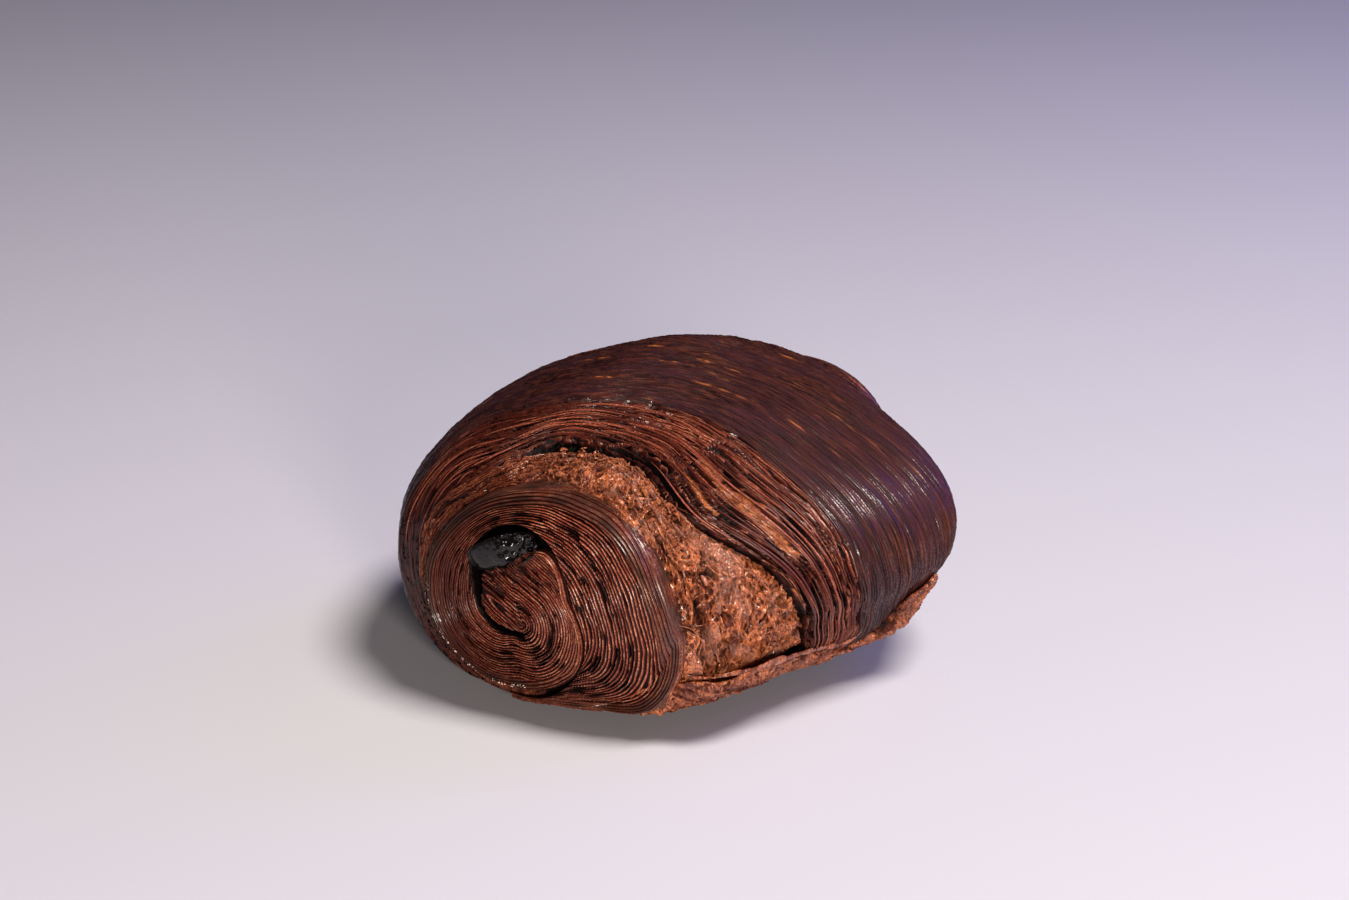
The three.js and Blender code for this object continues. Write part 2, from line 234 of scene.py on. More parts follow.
def surfaceLift(angle, y):
    turn = angle % 360 - roll["lipAngle"]
    spread = roll["lipSpread"]
    height = roll["lipHeight"] + roll["flapHeight"] * bump(y - roll["flapPlace"], roll["flapLength"])
    groove = bump(turn - roll["grooveAside"] * spread, roll["grooveSpread"] * spread)
    lip = height * bump(turn, spread) - roll["grooveDepth"] * groove
    under = turnFrom(angle, along(roll["flankEdge"], y))
    tuck = roll["tuck"] * smoothStep(*roll["tuckGrows"], under) * smoothStep(*roll["tuckFades"], under)
    tuck = tuck * smoothStep(*roll["tuckAlong"], y)
    return roll["bodyLump"] * lumps(angle, y) + lip - tuck


def facePoint(end, radius, angle, back):  # a point behind the end's dome
    reach = radius * end["scale"]
    a = np.radians(angle)
    y = end["side"] * (end["edge"] + dome(end, reach / ovalRadius(end, angle)) - back)
    z = end["centre"][1] + reach * np.sin(a)
    return np.stack([end["centre"][0] + reach * np.cos(a), y, np.maximum(z, roll["floorGap"])], -1)


# Meshes

# A piece's edges turn in under the surface, as deep as its "sinks" say by row, and stand off the floor
# by "wallStands", a share of that depth.

def gridPiece(name, columns, rows, place, count=1):
    # grids whose points are moved to place(u, v, which grid), with their meeting borders welded
    shape = bmesh.new()
    for _ in range(count):
        bmesh.ops.create_grid(shape, x_segments=columns, y_segments=rows, size=0.5)
    mesh = bpy.data.meshes.new(name)
    shape.to_mesh(mesh)
    flat = np.empty(len(mesh.vertices) * 3)
    mesh.vertices.foreach_get("co", flat)
    share = np.round(flat.reshape(-1, 3)[:, :2] + 0.5, 6)
    which = np.arange(len(share)) // (len(share) // count)
    points, marks = place(share[:, 0], share[:, 1], which)
    mesh.vertices.foreach_set("co", ((points + offset) * mm).ravel())
    for mark, values in marks.items():
        mesh.attributes.new(mark, "FLOAT", "POINT").data.foreach_set("value", values.astype(np.float32))
    shape.clear()
    shape.from_mesh(mesh)
    border = [v for v in shape.verts if v.is_boundary]
    bmesh.ops.remove_doubles(shape, verts=border, dist=weldGap)
    bmesh.ops.recalc_face_normals(shape, faces=shape.faces)
    for face in shape.faces:
        face.smooth = True
    shape.to_mesh(mesh)
    shape.free()
    piece = bpy.data.objects.new(name, mesh)
    bpy.context.scene.collection.objects.link(piece)
    return piece


def finishPiece(piece, material, node):
    piece.data.materials.append(material)
    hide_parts(node)
    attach(piece, "root")
    print(piece.name, len(piece.data.polygons), "faces")


def endPieces(names, values, placeOf, material):  # the same piece for the near end and the far end
    for end, name in zip((nearEnd, farEnd), names):
        piece = gridPiece(name, values["columns"][end["side"]], values["rows"][end["side"]], placeOf(end))
        finishPiece(piece, material, "pastry")


leafNoise = {
    "quick": 3, "quickShare": 0.3,  # a quicker wander over the slow one
    "ownOpening": 0.4,  # how much each gap is open or shut along all its length
    "gapFloor": 0.35,  # flat share of a gap
    "crestLength": 8, "crinkleLength": 0.9,
    "toneLength": 5, "regionLength": 6, "regionTone": 0.2,
}


def layerRelief(phase, ring, style, seed):
    # packed layers: phase counts them across, ring is (x, y) in mm along them
    def over(length, across, number, times=1):  # noise along the layers; odd factors keep them unlike
        return noise(*ring / length * times, across, seed + number)

    slow = over(style["wanderLength"], phase * 0.3, 0)
    quick = over(style["wanderLength"], phase * 0.7, 3, leafNoise["quick"])
    phase = phase + style["wander"] * (slow + leafNoise["quickShare"] * quick)
    layer, gap = np.floor(phase), np.round(phase)
    opening = over(style["gapLength"], gap * 3.37, 1)
    opening = opening + leafNoise["ownOpening"] * noise(0 * gap, gap * 1.7, 0 * gap, seed + 4)
    opening = smoothStep(style["shut"], style["shut"] + style["edge"], opening)
    half = style["gapBase"] + style["gapShare"] * opening
    profile = smoothStep(leafNoise["gapFloor"] * half, half, 2 * np.abs(phase - gap))
    crest = style["uneven"] * over(leafNoise["crestLength"], layer * 5.3, 2)
    crest = crest + style["crinkle"] * over(leafNoise["crinkleLength"], phase * 1.3, 5)
    groove = style["depth"] + style["openDepth"] * opening
    tone = 0.5 + style["toneVaries"] * over(leafNoise["toneLength"], layer * 7.7, 6)
    tone = tone + leafNoise["regionTone"] * over(leafNoise["regionLength"], phase * 0.2, 7)
    # painted shade: the gaps between leaves are darkened, most where they open
    marks = {"creviceShade": (1 - profile) * (style["dark"] + (1 - style["dark"]) * opening), "tone": tone,
             "placeX": ring[0], "placeY": ring[1], "leafNumber": phase}
    return crest * profile - groove * (1 - profile), marks


def ringOf(angle, radius=30):  # a place in mm round the roll, the same for every piece
    return np.stack([radius * np.cos(np.radians(angle)), radius * np.sin(np.radians(angle))])


# Materials

def linear(hexColour):
    parts = [int(hexColour[i:i + 2], 16) / 255 for i in (1, 3, 5)]
    return tuple(p / 12.92 if p <= 0.04045 else ((p + 0.055) / 1.055) ** 2.4 for p in parts) + (1,)


def addNode(tree, kind, inputs=None, output=0, stops=(), **settings):
    # inputs: value or link for each socket; stops: (place, hex colour) along a ramp
    node = tree.nodes.new("ShaderNode" + kind)
    for name, value in settings.items():
        setattr(node, name, value)
    for socket, value in (inputs or {}).items():
        if isinstance(value, bpy.types.NodeSocket):
            tree.links.new(value, node.inputs[socket])
        else:
            node.inputs[socket].default_value = value
    if stops:
        ramp = node.color_ramp.elements
        ramp[0].position, ramp[1].position = stops[0][0], stops[-1][0]
        ramp[0].color, ramp[1].color = linear(stops[0][1]), linear(stops[-1][1])
        for position, colour in stops[1:-1]:
            ramp.new(position).color = linear(colour)
    return node.outputs[output]


def newMaterial(name, markNames=(), **shaderValues):  # with the marks on the piece that it reads
    material = bpy.data.materials.new(name)
    material.use_nodes = True
    tree = material.node_tree
    shader = tree.nodes["Principled BSDF"]
    for socket, value in shaderValues.items():
        shader.inputs[socket.replace("_", " ")].default_value = value
    marks = {mark: addNode(tree, "Attribute", output="Fac", attribute_name=mark) for mark in markNames}
    return material, tree, shader, marks


def objectSpace(tree):  # the object's own place, in mm
    place = addNode(tree, "TexCoord", output="Object")
    return addNode(tree, "Mapping", {0: place, 3: (1 / mm, 1 / mm, 1 / mm)})


def layerSpace(tree, marks, alongMm, acrossLeaves):  # place along the leaves and across them
    place = addNode(tree, "CombineXYZ", {0: marks["placeX"], 1: marks["placeY"], 2: marks["leafNumber"]})
    return addNode(tree, "Mapping", {0: place, 3: (1 / alongMm, 1 / alongMm, 1 / acrossLeaves)})


def layColours(tree, colour, layers):
    # each row lays its colour over those before: what it follows, from, to, least, most, colour
    for value, low, high, least, most, over in layers:
        amount = addNode(tree, "MapRange", {0: value, 1: low, 2: high, 3: least, 4: most})
        over = linear(over) if isinstance(over, str) else over
        colour = addNode(tree, "Mix", {0: amount, 6: colour, 7: over}, 2, data_type="RGBA")
    return colour


def coatOutside(tree, creviceShade, gloss):  # weight of a coat that stays out of the gaps
    outside = addNode(tree, "MapRange", {0: creviceShade, 1: 0.05, 2: 0.4, 3: 1, 4: 0})
    return addNode(tree, "Math", {0: outside, 1: gloss}, operation="MULTIPLY")


def finishShader(tree, shader, heights, **links):  # heights: height, strength, depth in mm
    for height, strength, depth in heights:
        inputs = {"Strength": strength, "Distance": depth * mm, "Height": height}
        if "Normal" in links:
            inputs["Normal"] = links["Normal"]
        links["Normal"] = addNode(tree, "Bump", inputs)
    for socket, value in links.items():
        tree.links.new(value, shader.inputs[socket.replace("_", " ")])


def glazedCrust():
    # Egg-washed laminated dough, baked dark: brown glass over fine ridges, violet patches as painted sheen
    values = {"ridges": [(0.38, "#120403"), (0.53, "#36150e"), (0.68, "#6c3722")], "violet": "#381a23",
              "toasted": "#562817", "streak": "#a8602f", "creviceShade": "#050101",
              "lineMm": 4, "lineLeaves": 0.4, "patchMm": 9, "grainMm": 0.3}
    markNames = ("tone", "streak", "creviceShade", "placeX", "placeY", "leafNumber")
    material, tree, shader, marks = newMaterial(
        "glazedCrust", markNames, Specular_IOR_Level=0.12, Coat_Roughness=0.23, Coat_IOR=1.5)
    place = objectSpace(tree)
    leafPlace = layerSpace(tree, marks, values["lineMm"], values["lineLeaves"])
    lines = addNode(tree, "TexNoise", {"Vector": leafPlace, "Scale": 1, "Detail": 4, "Roughness": 0.65})
    patches = addNode(tree, "TexNoise", {"Vector": place, "Scale": 1 / values["patchMm"], "Detail": 3})
    grain = addNode(tree, "TexNoise", {"Vector": place, "Scale": 1 / values["grainMm"], "Detail": 2})
    colour = layColours(tree, addNode(tree, "ValToRGB", {0: lines}, stops=values["ridges"]), [
        # painted reflection: violet patches stand in for a violet sheen off the glaze
        (patches, 0.35, 0.8, 0.1, 0.9, values["violet"]),
        (marks["tone"], 0.6, 0.95, 0, 0.6, values["toasted"]),
        (marks["streak"], 0, 1, 0, 1, values["streak"]),
        # painted shade: near black in the gaps between ridges
        (marks["creviceShade"], 0, 1, 0, 1, values["creviceShade"]),
    ])
    gloss = addNode(tree, "MapRange", {0: grain, 1: 0.42, 2: 0.62, 3: 0.05, 4: 1})
    rough = addNode(tree, "MapRange", {0: grain, 1: 0.3, 2: 0.7, 3: 0.4, 4: 0.7})
    finishShader(tree, shader, [(lines, 0.9, 0.14), (grain, 0.8, 0.1)], Base_Color=colour,
                 Roughness=rough, Coat_Weight=coatOutside(tree, marks["creviceShade"], gloss))
    return material


def laminatedLayers():
    # Edges of baked dough leaves: thin light rims, painted shade red-brown beside them, near black in gaps
    values = {"rim": [(0.36, "#622313"), (0.5, "#91422c"), (0.64, "#d89a78")], "toasted": "#431409",
              "glaze": "#301a13", "valleyShade": "#35100a", "gap": "#050101",
              "crumb": [(0.4, "#4a1c0c"), (0.6, "#b0683a")],
              "fibreMm": 1.6, "fibreLeaves": 0.55, "grainMm": 0.22}
    markNames = ("tone", "crumb", "glaze", "creviceShade", "placeX", "placeY", "leafNumber")
    material, tree, shader, marks = newMaterial(
        "laminatedLayers", markNames, Specular_IOR_Level=0.12, Coat_Roughness=0.22, Coat_IOR=1.5)
    place = objectSpace(tree)
    leafPlace = layerSpace(tree, marks, values["fibreMm"], values["fibreLeaves"])
    lines = addNode(tree, "TexNoise", {"Vector": leafPlace, "Scale": 1, "Detail": 3, "Roughness": 0.6})
    grain = addNode(tree, "TexNoise", {"Vector": place, "Scale": 1 / values["grainMm"], "Detail": 3,
                                       "Roughness": 0.6})
    mixed = addNode(tree, "Mix", {0: 0.5, 2: lines, 3: grain})
    crumbColour = addNode(tree, "ValToRGB", {0: mixed}, stops=values["crumb"])
    colour = layColours(tree, addNode(tree, "ValToRGB", {0: mixed}, stops=values["rim"]), [
        # low tone here also carries painted shade on the roll's left and painted light on its right
        (marks["tone"], 0.7, 0.2, 0, 0.95, values["toasted"]),
        (marks["crumb"], 0, 1, 0, 1, crumbColour),
        (marks["glaze"], 0, 1, 0, 1, values["glaze"]),
        # painted shade: red-brown beside the rims, near black in the gaps
        (marks["creviceShade"], 0.02, 0.3, 0, 1, values["valleyShade"]),
        (marks["creviceShade"], 0.3, 0.65, 0, 1, values["gap"]),
    ])
    shine = addNode(tree, "MapRange", {0: marks["glaze"], 1: 0, 2: 1, 3: 0, 4: 0.95})
    spots = addNode(tree, "MapRange", {0: grain, 1: 0.35, 2: 0.65, 3: 0.15, 4: 0.7})
    gloss = addNode(tree, "Math", {0: spots, 1: shine}, operation="MAXIMUM")
    rough = addNode(tree, "MapRange", {0: grain, 1: 0.3, 2: 0.7, 3: 0.4, 4: 0.7})
    finishShader(tree, shader, [(lines, 0.7, 0.1), (grain, 0.8, 0.1)], Base_Color=colour,
                 Roughness=rough, Coat_Weight=coatOutside(tree, marks["creviceShade"], gloss))
    return material


def openCrumb():
    # Torn inner dough: thin walls round small cells, golden to red-brown, oily, with spots of painted sheen
    values = {"cell": [(0.4, "#220602"), (0.6, "#6c250e")], "wall": [(0.4, "#943716"), (0.6, "#e8935f")],
              "dark": "#4e1c0f", "moistSheen": "#b98676", "leaf": "#5c2112", "creviceShade": "#0a0201",
              "cellMm": 0.8, "bendMm": 1, "fibreMm": 0.34, "grainMm": 0.16, "patchMm": 2.6}
    markNames = ("wall", "moistSheen", "leaf", "creviceShade")
    material, tree, shader, marks = newMaterial(
        "openCrumb", markNames, Specular_IOR_Level=0.15, Coat_Roughness=0.16, Coat_IOR=1.5)
    place = objectSpace(tree)
    stretched = addNode(tree, "Mapping", {0: place, 3: (1, 1.2, 0.62)})  # cells stand upright
    bend = {"Vector": stretched, "Scale": 1 / values["bendMm"], "Detail": 3}
    bend = addNode(tree, "Mapping", {0: addNode(tree, "TexNoise", bend, "Color"), 3: (1.1, 1.1, 1.1)})
    bent = addNode(tree, "VectorMath", {0: stretched, 1: bend}, operation="ADD")
    cells = addNode(tree, "TexVoronoi", {"Vector": bent, "Scale": 1 / values["cellMm"]}, "Distance",
                    feature="DISTANCE_TO_EDGE")
    thin = addNode(tree, "MapRange", {0: cells, 1: 0.02, 2: 0.26, 3: 1, 4: 0})
    fibres = addNode(tree, "TexNoise", {"Vector": stretched, "Scale": 1 / values["fibreMm"], "Detail": 4,
                                        "Roughness": 0.7})
    grain = addNode(tree, "TexNoise", {"Vector": place, "Scale": 1 / values["grainMm"], "Detail": 3,
                                       "Roughness": 0.6})
    patches = addNode(tree, "TexNoise", {"Vector": stretched, "Scale": 1 / values["patchMm"], "Detail": 3,
                                         "Roughness": 0.6})
    mixed = addNode(tree, "Mix", {0: 0.5, 2: fibres, 3: grain})
    # painted light and shade: raised walls and cell edges take the light colour, the cells stay dark
    raised = addNode(tree, "Math", {0: marks["wall"], 1: thin}, operation="ADD")
    wallColour = addNode(tree, "ValToRGB", {0: mixed}, stops=values["wall"])
    colour = layColours(tree, addNode(tree, "ValToRGB", {0: mixed}, stops=values["cell"]), [
        (raised, 0.4, 1.3, 0, 1, wallColour),
        (patches, 0.5, 0.64, 0, 0.7, values["dark"]),
        # painted sheen: pale pinkish spots over the crumb
        (marks["moistSheen"], 0, 1, 0, 0.35, values["moistSheen"]),
        (marks["leaf"], 0, 1, 0, 0.7, values["leaf"]),
        (marks["creviceShade"], 0, 1, 0, 1, values["creviceShade"]),
    ])
    gloss = addNode(tree, "MapRange", {0: fibres, 1: 0.4, 2: 0.6, 3: 0.1, 4: 1})
    rough = addNode(tree, "MapRange", {0: fibres, 1: 0.35, 2: 0.65, 3: 0.35, 4: 0.6})
    finishShader(tree, shader, [(thin, 0.9, 0.22), (fibres, 1, 0.25), (grain, 0.8, 0.1)], Base_Color=colour,
                 Roughness=rough, Coat_Weight=coatOutside(tree, marks["creviceShade"], gloss))
    return material


def bakedChocolate():
    # Dark chocolate, melted and set again: glossy and near black, with a dull bloom and pores where cut
    values = {"dark": "#0c0809", "bloom": "#0f0b0b", "pore": "#040203", "grainMm": 0.5, "poreMm": 0.45}
    material, tree, shader, marks = newMaterial(
        "bakedChocolate", ("bloom",), Specular_IOR_Level=0.25, Coat_Weight=0.45, Coat_Roughness=0.08)
    place = objectSpace(tree)
    grain = addNode(tree, "TexNoise", {"Vector": place, "Scale": 1 / values["grainMm"], "Detail": 4})
    pores = addNode(tree, "TexNoise", {"Vector": place, "Scale": 1 / values["poreMm"], "Detail": 1})
    pores = addNode(tree, "MapRange", {0: pores, 1: 0.62, 2: 0.7, 3: 0, 4: 1})
    colour = layColours(tree, linear(values["dark"]), [
        (marks["bloom"], 0, 1, 0, 1, values["bloom"]),
        # painted shade: the pores darker
        (pores, 0, 1, 0, 1, values["pore"]),
    ])
    base = addNode(tree, "MapRange", {0: marks["bloom"], 1: 0, 2: 1, 3: 0.16, 4: 0.6})
    uneven = addNode(tree, "MapRange", {0: grain, 1: 0.3, 2: 0.7, 3: -0.08, 4: 0.1})
    rough = addNode(tree, "Math", {0: base, 1: uneven}, operation="ADD")
    depth = addNode(tree, "MapRange", {0: pores, 1: 0, 2: 1, 3: 1, 4: 0})
    finishShader(tree, shader, [(grain, 0.6, 0.1), (depth, 0.8, 0.2)], Base_Color=colour, Roughness=rough)
    return material


def driedSyrup():
    # Sugar syrup, boiled out and dried: clear and pale amber
    values = {"syrup": "#e0c4b4"}
    return newMaterial("driedSyrup", Base_Color=linear(values["syrup"]), IOR=1.49, Roughness=0.12,
                       Specular_IOR_Level=0.7)[0]


crustMaterial = glazedCrust()
layersMaterial = laminatedLayers()
crumbMaterial = openCrumb()
chocolateMaterial = bakedChocolate()
syrupMaterial = driedSyrup()
print("materials made")


# Open crumb, sunken between each rolled end and its band, and seen in the band's pockets

crumb = {
    "columns": {-1: 700, 1: 300}, "rows": {-1: 136, 1: 60},
    # by row, turned in at its edges: share of the way from the roll to the band, and depth in mm
    "shares": [(0, -0.08), (0.96, 1.12), (0.98, 1.12), (1, -0.08)],
    "sinks": [(0, 3), (0.01, 0), (0.96, 0), (0.98, 3), (1, 3)], "wallStands": 0.4,
    "turnSwing": 26, "turnStart": 160,  # columns closer together on the flank that shows
    "raise": 2.2, "raiseAngle": 30, "raiseSpread": 60,  # fuller against the roll where it faces the flank
    "openFrom": (1.5, 6),  # width over which it opens, in mm
    "lump": 0.6, "lumpPitch": 3, "pit": 1.2, "pitPitch": 2, "pitTall": 1.5, "pitFrom": (0.3, 0.7),
    "bend": 0.9, "bendPitch": 2.2,  # of the cells
    # cells: size along x, y and z, and height of the walls between them
    "cells": [((1.1, 0.85, 2.2), 0.55), ((0.55, 0.45, 0.95), 0.4)], "wallSharp": 2.2, "cellFloor": 0.4,
    "moistSheenPitch": (2.4, 2.4, 3.5), "moistSheenFrom": (0.1, 0.6),
    # painted shade in the pits and not on the walls, painted light on the walls and lumps
    "dark": 0.1, "pitsDark": 0.9, "wallsClear": 1.3, "darkest": 0.95,
    "light": 0.05, "wallsLight": 0.9, "lumpsLight": 0.3,
    "rimFollows": 0.4, "leastOut": 0.5,  # share of the unevenness at the band, least lean outwards
    "layers": 10,  # leaves where the crumb is only a narrow strip
    "leafyAngles": (38, 88), "leafyWander": 25, "leafyMost": 0.85,  # leaves take over at the top
    # a crease down the flank beside the roll, darkened with painted shade, with a ridge next to it
    "fold": 0.14, "foldWander": 0.03, "foldDepth": 0.9, "foldWidth": 0.03, "foldDark": 0.7,
    "ridgeAside": 0.07, "ridgeWidth": 0.04, "ridgeHeight": 0.5, "foldTop": (60, 35), "foldFoot": (-28, -20),
    "tidyRough": 0.2, "tidyTo": (0, 0.12),  # smoother beside the roll
}


def crumbRelief(points):  # height in mm, and the marks that colour it
    x, y, z = points.T
    bendX, bendZ = (crumb["bend"] * noise(*(points / crumb["bendPitch"]).T, seed) for seed in (65, 66))
    walls, tallest = 0, 0
    for number, ((sizeX, sizeY, sizeZ), height) in enumerate(crumb["cells"]):
        cell = noise((x + bendX) / sizeX, (y + bendZ) / sizeY, (z + bendX) / sizeZ, 61 + 10 * number)
        walls = walls + height * np.maximum(1 - crumb["wallSharp"] * np.abs(cell), -crumb["cellFloor"])
        tallest = tallest + height
    lump = noise(*(points / crumb["lumpPitch"]).T, 62)
    pitch, tall = crumb["pitPitch"], crumb["pitTall"]
    pit = noise((x + bendX) / pitch, (y + bendZ) / pitch * tall, z / pitch / tall, 63)
    pit = smoothStep(*crumb["pitFrom"], pit)
    raised = walls / tallest
    # painted shade in the pits, painted light on raised walls and lumps
    dark = crumb["dark"] + crumb["pitsDark"] * pit - crumb["wallsClear"] * raised
    light = crumb["wallsLight"] * raised + crumb["light"] + crumb["lumpsLight"] * lump
    marks = {
        "creviceShade": np.clip(dark, 0, crumb["darkest"]),
        "moistSheen": smoothStep(*crumb["moistSheenFrom"], noise(*(points / crumb["moistSheenPitch"]).T, 68)),
        "wall": np.clip(light, 0, 1),
        "leaf": 0 * x,
    }
    return crumb["lump"] * lump + walls - crumb["cellFloor"] * tallest - crumb["pit"] * pit, marks


# Outer crust, the sheet's face between the two layered bands

crust = {
    "columns": 220, "rows": 432, "step": 0.1,
    # by row, turned in at its edges: share of the way from the near edge to the far one, and depth in mm
    "shares": [(0, 0), (0.012, 0), (0.985, 1), (0.994, 1), (1, 0)],
    "sinks": [(0, 1.3), (0.004, 0.45), (0.012, 0), (0.985, 0), (0.991, 1.3), (1, 1.3)], "wallStands": 0.6,
    "ragged": 0.35, "raggedPitch": 3, "raggedFades": (0.06, 0),  # of the near edge
    "ridges": 96,  # fine ridges from end to end
    "ridge": {"wander": 0.8, "wanderLength": 10, "gapLength": 4, "shut": 0, "edge": 0.3, "gapBase": 0.6,
              "gapShare": 0.35, "dark": 0.4, "depth": 0.12, "openDepth": 0.24, "uneven": 0.06,
              "crinkle": 0.1, "toneVaries": 0.5},
    "terraces": 17,
    "terrace": {"wander": 0.6, "wanderLength": 14, "gapLength": 9, "shut": 0.1, "edge": 0.4, "gapBase": 0.2,
                "gapShare": 0.4, "dark": 0.3, "depth": 0.02, "openDepth": 0.3, "uneven": 0.2,
                "crinkle": 0, "toneVaries": 0.3},
    "flankSteps": 0.35, "stepAngles": (15, 60),  # terraces are plainer on the flank
    # painted shade in the gaps between ridges and terraces
    "ridgeDark": 0.7, "terraceDark": 0.4,
    # broken, lighter lines: angle from, angle to, share from the near edge to the far edge
    "streaks": [(92, 64, 0.42), (62, 46, 0.28), (46, 33, 0.45), (34, 24, 0.225), (25, 12, 0.405),
                (17, 12, 0.23), (13, 7, 0.46), (118, 100, 0.33), (140, 120, 0.5), (80, 66, 0.62),
                (100, 84, 0.16), (60, 50, 0.72), (160, 140, 0.3), (190, 170, 0.55), (44, 36, 0.85),
                (78, 62, 0.3), (70, 52, 0.36), (55, 40, 0.2)],
    "streakWidth": 0.0035, "streakLift": 0.12, "streakFade": (3, 2),  # degrees past its end and before it
    "streakBend": 0.004, "streakBendPitch": 6,
    "breakPitch": 0.9, "breaksAcross": 120, "breakFrom": (-0.2, 0.25),
    "blister": 0.12, "blisterPitch": 0.8, "blisterShort": 1.6,
}


def crustStreaks(angle, ring, share):
    past, before = crust["streakFade"]
    streak = 0
    for start, stop, place in crust["streaks"]:
        ends = smoothStep(stop - past, stop + before, angle)
        ends = ends * (1 - smoothStep(start - before, start + past, angle))
        bend = crust["streakBend"] * noise(*ring / crust["streakBendPitch"], place * 40, 31)
        streak = streak + ends * bump(share - place - bend, crust["streakWidth"])
    broken = noise(*ring / crust["breakPitch"], share * crust["breaksAcross"], 32)
    return np.clip(streak, 0, 1) * smoothStep(*crust["breakFrom"], broken)


def crustPlace(u, v, which):
    angle = 360 * u + roll["seam"]
    share, sink = straightAlong(crust["shares"], v), straightAlong(crust["sinks"], v)
    ring = ringOf(angle)
    ragged = crust["ragged"] * noise(*ring / crust["raggedPitch"], 0 * u, 33)
    near = around(nearEnd["bandOuter"], angle) + ragged * smoothStep(*crust["raggedFades"], share)
    y = -near * (1 - share) + around(farEnd["bandOuter"], angle) * share
    fine, fineMarks = layerRelief(share * crust["ridges"], ring, crust["ridge"], 11)
    broad, broadMarks = layerRelief(share * crust["terraces"] + 0.3, ring, crust["terrace"], 21)
    streak = crustStreaks(angle, ring, share)
    pitch = crust["blisterPitch"]
    blister = crust["blister"] * noise(*ring / pitch, y / pitch * crust["blisterShort"], 34)
    steps = crust["flankSteps"] + (1 - crust["flankSteps"]) * smoothStep(*crust["stepAngles"], angle)
    relief = fine + broad * steps + crust["streakLift"] * streak + blister
    lift = surfaceLift(angle, y) + crust["step"] + relief - sink
    # painted shade: gaps between ridges and terraces darkened
    creviceShade = crust["ridgeDark"] * fineMarks["creviceShade"]
    creviceShade = np.clip(creviceShade + crust["terraceDark"] * steps * broadMarks["creviceShade"], 0, 1)
    return skin(y, angle, lift, crust["wallStands"] * sink), dict(fineMarks, creviceShade=creviceShade, streak=streak)


piece = gridPiece("outer_crust", crust["columns"], crust["rows"], crustPlace)
finishPiece(piece, crustMaterial, "pastry")


# Layered bands, the sheet's cut edge between the crust and the crumb

